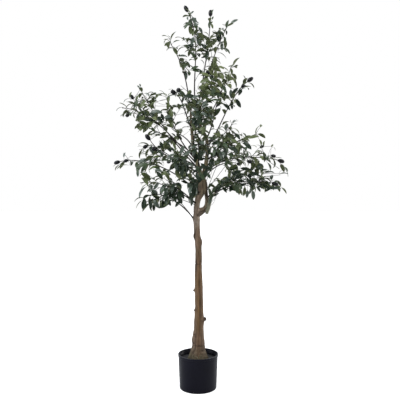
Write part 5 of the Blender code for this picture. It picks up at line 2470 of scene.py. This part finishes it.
OPENING_ROWS = (
    (172, 22, 11, 12), (202, 14, 6.5, 11), (206, 31, 3.5, 7), (222, 13, 9, 8), (214.5, 32, 2.3, 7),
    (236, 42, 9.5, 18), (186, 34, 4.5, 4.3), (179, 44, 6, 2.2), (183, 50.5, 4, 2.3), (171, 66, 8, 13),
    (178, 77, 5, 9), (193.5, 84, 3.3, 12), (186, 86, 3.8, 7), (199.5, 79, 1.8, 7), (193, 63, 3, 3),
    (201.5, 62, 2.3, 4), (213, 53.5, 3, 2.8), (222, 57.5, 6, 4), (223, 62.8, 5.5, 3.5), (226, 71, 2, 3),
    (246, 66, 8, 9), (239, 76, 3.5, 8), (226.5, 91, 2.6, 6.5), (245, 98, 6.5, 7), (226.3, 102, 2.3, 4),
    (237, 115.5, 19, 4.8), (221, 119, 7, 4), (216.5, 125, 4, 4), (251, 125, 9, 8), (275, 131, 13, 11),
    (254, 149, 3, 3), (268.5, 152.5, 3.5, 4), (281, 148, 6, 4), (288, 153, 7, 5), (276, 169, 5, 2.8),
    (276.5, 178.5, 6, 3), (283, 184, 5, 4), (244, 187, 3.5, 3), (258, 193, 5, 3.5), (293, 185, 8, 12),
    (228, 202, 16, 9.5), (272, 201, 16, 8.5), (234.5, 164, 4.5, 3.3), (216.5, 172, 6, 7.5),
    (208, 180, 2.5, 5), (223.5, 174, 3, 3.5), (211, 152, 1.5, 3), (212.5, 186.5, 2, 2), (122, 183, 13, 12.5),
    (123, 147, 12, 8), (127, 157, 7, 3), (136, 151, 4, 4.5), (130, 192, 9, 10), (143, 189, 5, 7),
    (136, 190, 4.5, 9), (131, 173, 5.5, 6), (141, 203, 2.5, 7), (148, 205, 1.3, 5), (158, 189, 3.8, 5),
    (172, 212, 12, 6), (186.5, 194.5, 3.5, 4.5), (185, 184, 2.3, 2.3), (174, 178, 2.3, 6),
    (178.7, 179, 1.5, 5), (188, 160, 3, 4.5), (192, 157, 2.5, 5), (195.5, 167, 2.3, 3.6), (150, 218, 20, 6),
    (167, 153, 4, 5.5), (168, 164.5, 3.5, 2.3), (184.5, 139, 6.3, 10), (182, 115, 8, 6.5),
    (203.5, 106, 1.8, 2.5), (215, 106, 2.5, 3), (180.5, 125, 8, 4), (161, 103, 5.5, 7), (156, 144, 3.6, 3.6),
    (176.5, 101, 6, 4), (160, 84, 13, 7), (126, 86, 10, 7), (127, 106.5, 5, 1.8), (127, 126, 9, 8.5),
    (137, 137, 8.5, 4), (153.5, 140, 3.3, 2.6), (170, 131.5, 4, 4.5), (183.5, 148, 4.5, 5.5),
    (150, 172.5, 2, 2.3), (203, 200, 7.5, 20), (201, 212, 7, 14), (217, 25, 3.5, 4), (207, 33, 5, 3.5),
    (205, 66.5, 4, 4.5), (205, 59.5, 2.5, 3), (114, 113, 6, 6), (122, 111.5, 1.8, 2.5), (246, 130, 8, 4),
    (137, 80.5, 4, 4.5), (237, 102, 4, 5), (236, 131, 3.5, 2.5), (234, 124.5, 6, 3.5), (256, 131, 7, 4),
    (258, 143, 5, 4.5), (250, 146, 2.5, 3), (250, 200, 9, 5), (275, 154, 4, 4), (218, 166, 3, 4),
    (120, 161, 4, 3), (219, 172, 8, 7), (208, 186, 3, 5), (211, 60, 3, 3), (187, 33, 3, 3),
)
OPENINGS = Openings(tuple(FRONT_VIEW.oval(*row) for row in OPENING_ROWS))
BARE_WIRES = (
    straight_wire((205.5, 183, 0), (213, 163.5, -0.06), 0.0011),
    straight_wire((207, 190, 0), (217.5, 164, -0.07), 0.0011),
    straight_wire((207.5, 190, 0), (226, 165, -0.08), 0.0011),
    straight_wire((193.6, 218, -0.005), (179, 200.5, -0.03), 0.0019),
    straight_wire((194.8, 204.5, -0.01), (180.5, 199, -0.04), 0.0014),
    straight_wire((262, 146.6, 0.03), (272, 146.2, 0.03), 0.0008),
    straight_wire((264, 158, 0.03), (279.5, 169, 0.03), 0.0010),
    straight_wire((262, 173.8, 0.02), (287, 173.2, 0.03), 0.0008),
    straight_wire((264, 176.5, 0.02), (281, 175, 0.03), 0.0008),
)
SET_LEAVES = (
    SetLeaves("top_centre", -0.03, (
        (187.8, 12.5, 190.5, 16.5, MID, 60), (190.5, 15.5, 194, 12, GREY, 70), (192, 17, 197, 27, GREY, 60),
        (190, 22, 184.5, 29.5, MID, 45), (190, 24, 190.3, 34, OLIVE, 60), (192, 27, 193, 36, OLIVE, 60),
        (194.5, 22, 197, 31, MID, 70), (198, 25.5, 202.5, 33, GREY, 60), (197, 32, 200.5, 46, GREY, 85),
        (190, 39, 182, 41, MID, 30), (194, 37, 191, 47, GREY, 80), (195.5, 45, 186, 48.5, DEEP, 45),
        (200, 43, 209, 50, DEEP, 60), (209, 52, 200, 51.5, DEEP, 45), (208, 50, 206, 61.5, DEEP, 85),
        (207.5, 57, 201, 58.5, DEEP, 50), (204, 66, 200, 61, DEEP, 25), (209, 41, 202, 38.5, DEEP, 12),
        (196, 58, 190.5, 52.5, MID, 70), (191, 70.5, 203, 71.5, MID, 72), (190, 70, 198.5, 66.5, MID, 70),
        (197, 57, 190.5, 57.5, DEEP, 45),
    )),
    SetLeaves("top_left", 0.03, (
        (186, 70.5, 186, 80, GREY, 75), (186, 61, 190, 68, MID, 65), (187, 60.5, 181.5, 67, MID, 40),
        (177.5, 57.5, 188, 57.5, GREY, 50), (175, 51, 181.3, 46.5, GREY, 30), (172.5, 44, 180.3, 41, MID, 35),
        (168.5, 39.5, 164.3, 45, GREY, 12), (174.5, 49.5, 176.5, 53, GREY, 40),
    )),
    SetLeaves("top_right", -0.04, (
        (211.5, 14, 212.8, 10.8, MID, 60), (211.8, 20.5, 213.3, 16, MID, 60), (210, 20, 209.3, 28, MID, 65),
        (211, 24, 212.8, 29.5, OLIVE, 65), (209, 36, 203, 32.5, GREY, 5), (209, 40, 216.3, 43.5, MID, 50),
    )),
    SetLeaves("top_far_right", 0.05, (
        (229.5, 24.5, 238.3, 20.3, GREY, 60), (227, 22, 226.3, 30, MID, 85), (226.5, 30, 226.5, 35, DEEP, 85),
        (218.5, 29, 218.3, 42, DEEP, 88), (219.8, 31, 219, 42, DEEP, 80), (220, 29.5, 224, 37, MID, 60),
        (223.5, 37, 225.7, 43, MID, 65), (221.5, 43.3, 222, 52, GREY, 88),
        (220.5, 48, 210.5, 49.5, OLIVE, 50), (218, 52, 226.3, 58.7, GREY, 6),
        (212, 56.5, 220, 61.2, DEEP, 20), (210, 60, 217, 66, MID, 45), (217, 33, 212, 32.7, GREY, 4),
        (222.5, 23.3, 226, 24, MID, 20),
    )),
    SetLeaves("crest_front", -0.12, (
        (200.5, 76, 210, 73.5, OLIVE, 75), (203, 79, 212, 84, OLIVE, 80), (198, 86, 208.5, 92, OLIVE, 85),
        (199, 84, 209, 80, OLIVE, 85), (208, 86, 218.5, 91, OLIVE, 80), (216, 78, 222, 87, YOUNG, 80),
        (221, 84, 226, 92.5, MID, 70), (212, 88, 205, 96.5, OLIVE, 80), (220, 90, 212, 97.5, YOUNG, 75),
        (206, 70, 214.5, 76, YOUNG, 70), (222, 72, 214, 67.5, YOUNG, 75), (217, 84, 208, 82, YOUNG, 70),
        (224, 80, 217, 75.5, YOUNG, 75), (200, 94, 208.5, 99, MID, 70), (210, 78, 219, 82.5, MID, 80),
        (213, 94, 222, 98, MID, 60), (215.5, 60, 215, 71, YOUNG, 80), (217, 67.5, 224, 71, YOUNG, 55),
        (210, 77, 201, 74, YOUNG, 70), (215, 70, 216.3, 81, YOUNG, 88), (218, 72, 224.3, 78, OLIVE, 50),
        (210, 84, 198, 87.5, YOUNG, 88), (203, 82, 210, 90, OLIVE, 80), (204, 89.5, 213, 96.5, OLIVE, 75),
        (216, 82, 223, 88, YOUNG, 60), (222, 75, 230, 74, OLIVE, 20), (212, 92, 221, 92, YOUNG, 60),
        (204, 97, 212, 103, OLIVE, 60),
    )),
    SetLeaves("crest_right", 0.08, (
        (234, 67, 228, 67.8, MID, 45), (233.5, 67, 238.7, 65, MID, 45), (231, 68.5, 232, 75.5, OLIVE, 60),
        (232, 76, 234.5, 83, YOUNG, 10), (230, 75, 224, 78.5, OLIVE, 20), (229, 80, 222, 85, YOUNG, 50),
    )),
    SetLeaves("high_right", 0.0, (
        (245.3, 82, 242.8, 75.8, DEEP, 25), (247.5, 83, 254, 88.7, GREY, 6), (240, 89.7, 246.3, 88, DEEP, 40),
        (231.5, 96, 238, 88.5, DEEP, 65), (231, 88, 231.3, 98.5, GREY, 75),
        (231.5, 100.3, 232.5, 109, DEEP, 88), (235, 98, 240.8, 108, DEEP, 88),
        (222, 104, 230, 111.2, DEEP, 55), (223, 101, 216, 107, DEEP, 55), (221, 108, 213, 118, MID, 70),
        (226, 88, 225, 96, DEEP, 60),
    )),
    SetLeaves("far_high_left", -0.04, (
        (124, 108, 117, 112, GREY, 4), (130, 99, 124, 103.3, GREY, 12), (130, 99, 132, 92, OLIVE, 22),
        (139, 94, 135.5, 101.5, OLIVE, 40), (139, 100, 134, 109, MID, 60), (146, 100, 141.5, 109, OLIVE, 65),
        (145, 96, 139, 94.8, MID, 10), (146, 94, 153.3, 91.8, MID, 8), (147.5, 100, 157.3, 98.6, GREY, 5),
        (150, 106.5, 156.7, 102.3, OLIVE, 45), (149, 107.5, 155, 108.5, OLIVE, 50),
        (140, 88.5, 137, 85.3, GREY, 60), (141, 88, 140, 84.5, GREY, 60), (129, 114, 125, 117.7, MID, 25),
        (142, 104, 147, 108, OLIVE, 40),
    )),
    SetLeaves("side_left", -0.02, (
        (139, 112, 150, 116, DEEP, 70), (151, 111, 158.5, 117, GREY, 85), (158, 112, 152, 120, GREY, 85),
        (163, 117, 154, 121, MID, 75), (140, 117, 150.5, 121, GREY, 80), (138, 121, 148, 125.5, OLIVE, 80),
        (146, 124, 138, 129.5, OLIVE, 80), (155, 121, 146, 118, GREY, 80), (161, 113, 164, 121, DEEP, 75),
        (152, 121, 160.5, 126, MID, 60), (143, 113, 136.5, 119, MID, 80), (174, 116, 164, 118.5, GREY, 75),
        (157, 115, 147, 115, GREY, 70), (138, 114, 149, 112.5, MID, 60), (150, 113, 163, 114, GREY, 70),
        (151, 118, 163, 120.5, GREY, 75), (147, 118, 135.5, 121, OLIVE, 80),
        (148, 122, 139, 130.5, YOUNG, 80), (150, 123, 143, 132.8, OLIVE, 75),
        (163, 118, 174, 118.7, DEEP, 60), (168, 104, 169, 95, OLIVE, 65), (167, 97, 160, 94.3, MID, 12),
        (169, 101, 167.5, 110, OLIVE, 70), (170.5, 108, 172.3, 119, OLIVE, 80),
        (168, 109.5, 160, 113.3, OLIVE, 12), (171, 119, 172, 128.5, OLIVE, 80), (150, 128, 156, 133, MID, 60),
        (158, 118, 163, 124, DEEP, 60), (146, 112, 141, 117, DEEP, 70),
    )),
    SetLeaves("upright_left", 0.07, (
        (174, 127, 183, 121.8, MID, 30), (183, 121.5, 190.3, 126.8, MID, 25), (172, 108, 180, 106, MID, 25),
        (188, 105.5, 180, 106.3, GREY, 70), (188, 111.5, 184, 115.3, MID, 25),
        (190, 127.5, 181, 129.3, MID, 12), (176, 138, 171, 133, MID, 25), (176, 134.5, 182, 139.5, MID, 55),
        (176, 132, 183.3, 131.5, GREY, 25),
    )),
    SetLeaves("crest_left", -0.1, (
        (174, 91, 168.5, 89.7, GREY, 25), (178, 90, 185.5, 96.5, MID, 55), (197, 98.5, 184, 97, DEEP, 70),
        (196, 95.7, 204.3, 97.7, DEEP, 45), (190, 99, 200, 104, GREY, 75), (200, 101, 193, 108, DEEP, 75),
    )),
    SetLeaves("middle_left", -0.07, (
        (159, 133, 151, 137, DEEP, 30), (145, 143, 138, 145.3, OLIVE, 18), (163, 140, 172.3, 154.5, DEEP, 65),
        (160, 141, 164, 152, DEEP, 65), (143.5, 147, 137.5, 146.5, GREY, 10), (147, 148, 141, 151, OLIVE, 15),
    )),
    SetLeaves("far_left", 0.01, (
        (123.5, 158, 125, 152, GREY, 20), (130, 165.3, 117, 169.7, GREY, 4),
        (138, 169, 138.3, 177.3, GREY, 60), (140, 172, 151, 180, OLIVE, 70), (128, 158, 133, 156.5, GREY, 4),
        (120, 163, 113, 166.7, GREY, 4), (147, 186, 139.5, 199, GREY, 10), (149, 181, 141, 185, GREY, 15),
        (148, 184, 141, 191, MID, 12),
    )),
    SetLeaves("front_left", -0.2, (
        (181, 155.5, 171, 158.5, MID, 80), (180, 155, 184.5, 146, GREY, 80), (182, 156, 191, 151.7, GREY, 75),
        (181, 157, 187.5, 165, GREY, 80), (178, 160, 172, 166, MID, 75), (179, 158, 188, 158.5, MID, 75),
        (178, 162, 184, 168, GREY, 80), (175, 152, 170, 147, DEEP, 70), (186, 163, 194, 166, GREY, 60),
        (183, 166, 177.5, 172, MID, 80),
    )),
    SetLeaves("inner_left", -0.15, (
        (150, 166, 160, 166, MID, 25), (158, 166, 149, 171, OLIVE, 40), (154, 170, 163, 172, GREY, 60),
        (163, 166, 155, 162, OLIVE, 30), (165, 160, 158, 155, MID, 20), (167, 171, 160, 176, YOUNG, 60),
        (188, 168, 180, 172, DEEP, 75), (189, 174, 181, 180, DEEP, 70), (150, 156, 139, 154.7, MID, 15),
        (152, 158, 162, 157, OLIVE, 45), (150, 160, 137, 162, GREY, 60), (150, 163.5, 136.5, 168, MID, 55),
        (152, 163.5, 164, 161, OLIVE, 15), (160, 161, 171.5, 162.3, MID, 28), (150, 168, 161, 170.3, MID, 20),
        (153, 150, 163, 156, GREY, 30), (156, 171, 163, 180, DEEP, 60), (160, 172, 170, 176, OLIVE, 70),
        (148, 152, 139, 157, GREY, 15),
    )),
    SetLeaves("low_left", -0.05, (
        (144, 196.5, 145, 208, DEEP, 88), (151, 199, 151.3, 209.3, DEEP, 70),
        (153.5, 203, 154, 211, DEEP, 70), (172, 199, 158, 209, MID, 88), (150, 191, 159, 199.5, MID, 75),
        (153, 199, 160, 208.5, GREY, 85), (181, 200, 175, 207, DEEP, 70), (166, 197, 171, 206, DEEP, 80),
        (150, 189, 157, 195, GREY, 60),
    )),
    SetLeaves("front_low", -0.16, (
        (205, 164, 199, 171, DEEP, 70), (200, 163, 206.5, 169.5, DEEP, 75), (208, 168, 203, 178, DEEP, 80),
        (199, 172, 204.5, 180.5, MID, 80), (204, 174, 198, 183, DEEP, 75), (196, 165, 200.5, 174, MID, 75),
        (208.5, 162, 212, 170, DEEP, 70), (197, 188.5, 189.7, 199.5, DEEP, 80),
        (198, 178, 188, 187, DEEP, 85), (199, 183, 191, 192, DEEP, 80), (196, 172, 199, 181, DEEP, 80),
        (188, 184, 181, 181, DEEP, 60),
    )),
    SetLeaves("low_front_left", -0.13, (
        (178, 186, 170, 194, DEEP, 80), (168, 184, 160, 192, GREY, 70), (180, 190, 184, 199, DEEP, 80),
        (172, 190, 163, 196, DEEP, 70), (160, 182, 154, 190, DEEP, 60),
    )),
    SetLeaves("far_right", 0.03, (
        (271, 147.5, 273.3, 144, OLIVE, 60), (273, 147, 275.3, 151, OLIVE, 20),
        (264, 147, 264.3, 141, GREY, 10), (282, 167, 287, 172, MID, 25), (279, 174.5, 288, 174.3, MID, 25),
        (263, 151, 265.7, 161, MID, 50), (267, 162, 270, 171.5, MID, 15), (263, 152, 256, 151.5, GREY, 8),
        (267, 173, 258, 174, OLIVE, 10),
    )),
    SetLeaves("low_far_right", -0.07, (
        (229, 170, 238, 167, DEEP, 80), (232, 174, 241, 171, DEEP, 80), (236, 177, 245, 175, DEEP, 80),
        (240, 168, 249, 170, DEEP, 80), (244, 180, 236, 182, DEEP, 75), (246, 172, 254, 169, DEEP, 75),
        (238, 181, 230, 178, DEEP, 75), (250, 176, 258, 173, DEEP, 75), (247, 184, 239, 186, DEEP, 70),
        (255, 168, 262.5, 165, DEEP, 70), (233, 166, 227, 163, MID, 60), (279, 180.5, 273, 184, MID, 40),
        (268, 189.3, 281, 188.7, DEEP, 50), (272, 187, 265, 192, DEEP, 60),
        (247.3, 189.5, 246.5, 198, GREY, 75), (252.3, 189.5, 253.3, 200, GREY, 88),
        (228, 189, 240.5, 191, DEEP, 50), (240.5, 189.5, 239, 195, DEEP, 60), (262, 183, 268, 189, DEEP, 70),
        (256, 186, 261, 192, DEEP, 60), (244, 176, 234, 179, DEEP, 70), (256, 172, 247, 176, DEEP, 75),
        (230, 172, 240, 177, DEEP, 75), (268, 170, 260, 172, MID, 40), (250, 180, 255, 187, DEEP, 70),
        (238, 165, 229, 169, OLIVE, 70),
    )),
    SetLeaves("middle_right", -0.06, (
        (229, 129, 222, 121.7, OLIVE, 12), (232, 125, 238.7, 121, MID, 10), (226, 131, 220, 126, MID, 12),
        (230, 128.5, 239, 135, OLIVE, 12), (226, 133.5, 216, 130, OLIVE, 12), (226, 134, 232, 138.5, MID, 50),
        (234, 133, 239.7, 140.5, DEEP, 50), (247, 139, 259, 137, OLIVE, 60),
        (256.5, 137, 260, 125.5, OLIVE, 0), (259, 139, 260.5, 146.5, OLIVE, 0),
        (243, 138, 253, 137.3, OLIVE, 70), (222, 138, 230, 141, MID, 45), (250, 146, 257, 147.5, OLIVE, 12),
        (242, 133, 246, 138, MID, 25), (262, 149, 256, 145, GREY, 10), (216, 141, 208, 137, MID, 60),
        (240, 146, 232, 142, OLIVE, 50),
    )),
    SetLeaves("front_crest", -0.14, (
        (196, 104, 203.5, 100, GREY, 80), (201, 108, 209, 104, GREY, 80), (192, 108, 199, 112, GREY, 80),
        (200, 113, 207.5, 117, GREY, 80), (194, 116, 201.5, 121, GREY, 80), (205, 106, 211.5, 111.5, MID, 75),
        (197, 121, 204, 126.5, MID, 75), (191, 98, 199, 95.5, GREY, 75), (203, 119, 210, 123.5, MID, 75),
        (190.5, 111, 195.5, 118, GREY, 75), (208, 100, 202, 106, GREY, 70), (206, 126, 199, 131, OLIVE, 70),
        (208, 113, 213.5, 119, GREY, 75),
    )),
    SetLeaves("front_right", -0.17, (
        (212, 172, 206, 165, DEEP, 75), (206, 172, 210.5, 179, DEEP, 70), (209, 160, 214, 166, DEEP, 70),
        (214, 158, 209, 152, MID, 70), (220, 165, 214, 160, OLIVE, 60), (214, 140, 222, 144.5, MID, 80),
        (220, 137, 213, 133.5, OLIVE, 60), (226, 144, 218, 148.5, MID, 80), (232, 150, 240, 146.5, OLIVE, 75),
        (224, 152, 216, 156, OLIVE, 75), (236, 157, 228, 154, YOUNG, 70), (222, 160, 214, 163.5, MID, 75),
        (238, 143, 230, 140, OLIVE, 60), (230, 160, 224, 166, MID, 70),
    )),
    SetLeaves("low_front_right", -0.11, (
        (211, 197, 208.5, 188, MID, 60), (212, 194, 216.5, 186, OLIVE, 60), (214, 192, 219.5, 187, DEEP, 60),
        (213, 197, 219, 193.5, DEEP, 50), (210, 201, 213, 193.5, MID, 60), (222, 186, 217, 179, OLIVE, 70),
        (219, 184, 225.5, 178, OLIVE, 60), (216, 189, 209, 184, OLIVE, 50), (224, 188, 231, 184, MID, 60),
        (221, 189, 228, 190.5, DEEP, 50), (209, 205, 211.5, 197, GREY, 60), (208, 189, 212, 183, MID, 60),
        (226, 183, 232, 178, MID, 60), (222, 182, 216, 188, MID, 60), (216, 186, 212, 193, MID, 60),
        (220, 179, 213, 181, OLIVE, 30), (228, 180, 220, 184, MID, 60), (222, 187, 227, 193, DEEP, 60),
    )),
)
WRAPPED_FOOT = WrappedFoot(
    "low_front_right",
    ((0.0365, -0.012, 0.728), (0.039, -0.013, 0.742), (0.0475, -0.016, 0.774), (0.053, -0.018, 0.799)),
    0.36,
)
LEAF_TOPS = {
    tint: LeafFinish(f"leaf_top_{tint.value}", color, roughness, gloss=gloss, other=other)
    for tint, color, other, roughness, gloss in (
        (DEEP, (0.009, 0.020, 0.010), (0.016, 0.030, 0.014), 0.42, 0.30),
        (MID, (0.027, 0.048, 0.018), (0.038, 0.062, 0.026), 0.42, 0.36),
        (OLIVE, (0.066, 0.090, 0.027), (0.088, 0.112, 0.040), 0.42, 0.40),
        (YOUNG, (0.092, 0.116, 0.038), (0.120, 0.142, 0.056), 0.44, 0.38),
        (GREY, (0.050, 0.072, 0.052), (0.075, 0.098, 0.074), 0.38, 0.50),
    )
}
LEAF_UNDER = LeafFinish("leaf_underside", (0.095, 0.120, 0.052), 0.6, gloss=0.25, other=(0.130, 0.152, 0.072))
WIRE_WRAP = WrapFinish("wire_wrap", (0.013, 0.011, 0.009), 0.75, gloss=0.25, other=(0.028, 0.023, 0.018))
OLIVE_SKIN = FruitFinish(
    "olive_skin", (0.0030, 0.0032, 0.0042), 0.26, gloss=0.28, bloom=(0.005, 0.005, 0.007)
)
TRUNK_BARK = BarkFinish(
    "trunk_bark", (0.190, 0.118, 0.060), 0.85, gloss=0.25,
    bands=(
        (0.120, (0.130, 0.076, 0.040)), (0.190, (0.116, 0.068, 0.032)), (0.260, (0.150, 0.082, 0.031)),
        (0.400, (0.163, 0.090, 0.030)), (0.520, (0.156, 0.089, 0.036)), (0.600, (0.165, 0.110, 0.066)),
        (0.665, (0.205, 0.142, 0.095)), (0.695, (0.420, 0.340, 0.270)), (0.760, (0.390, 0.310, 0.245)),
    ),
    rosy=(0.260, 0.145, 0.090), grey=(0.225, 0.182, 0.150),
    furrow_and_shade=(0.032, 0.018, 0.010), moss=(0.118, 0.092, 0.056),
)
BOUGH_BARK = BarkFinish(
    "bough_bark", (0.250, 0.165, 0.110), 0.85, gloss=0.25,
    bands=(
        (0.740, (0.430, 0.345, 0.270)), (0.830, (0.320, 0.255, 0.170)), (0.870, (0.250, 0.205, 0.120)),
        (0.950, (0.170, 0.148, 0.078)), (1.200, (0.120, 0.085, 0.055)),
    ),
    rosy=(0.360, 0.210, 0.155), grey=(0.190, 0.175, 0.095),
    furrow_and_shade=(0.045, 0.030, 0.020), moss=(0.105, 0.105, 0.065),
)


def main() -> None:
    """Builds the tree piece by piece and the studio round it."""
    logging.basicConfig(level=logging.INFO, format="%(name)s %(message)s")
    Studio().build()
    pot = Pot()
    pot.build()
    Filling().build(pot)
    limbs = {Host.TRUNK: TRUNK, Host.LEADING: LEADING_BOUGH, Host.LEFT: LEFT_BOUGH}
    for host, limb in limbs.items():
        limb.settle(TRUNK_RINGS if host is Host.TRUNK else BOUGH_RINGS)
    TRUNK.build(TRUNK_BARK, Slot.TRUNK, "trunk")
    LEADING_BOUGH.build(BOUGH_BARK, Slot.BOUGH, "bough_leading")
    for limb in (LEFT_BOUGH, CROTCH, ELBOW_WEB):
        limb.build(BOUGH_BARK, Slot.BOUGH, "bough_left")
    PRUNED_STUBS.build(TRUNK, TRUNK_BARK)
    FootFibres().build(TRUNK)
    grower = Grower(limbs, SPRAYS)
    foliage = Foliage(grower, LeafForm(), OliveForm(), SPRIGS, OPENINGS, SET_LEAVES, BARE_WIRES)
    foliage.grow()
    WRAPPED_FOOT.build(grower)
    foliage.place(LEAF_TOPS, LEAF_UNDER, WIRE_WRAP, OLIVE_SKIN)


if __name__ == "__main__":
    main()
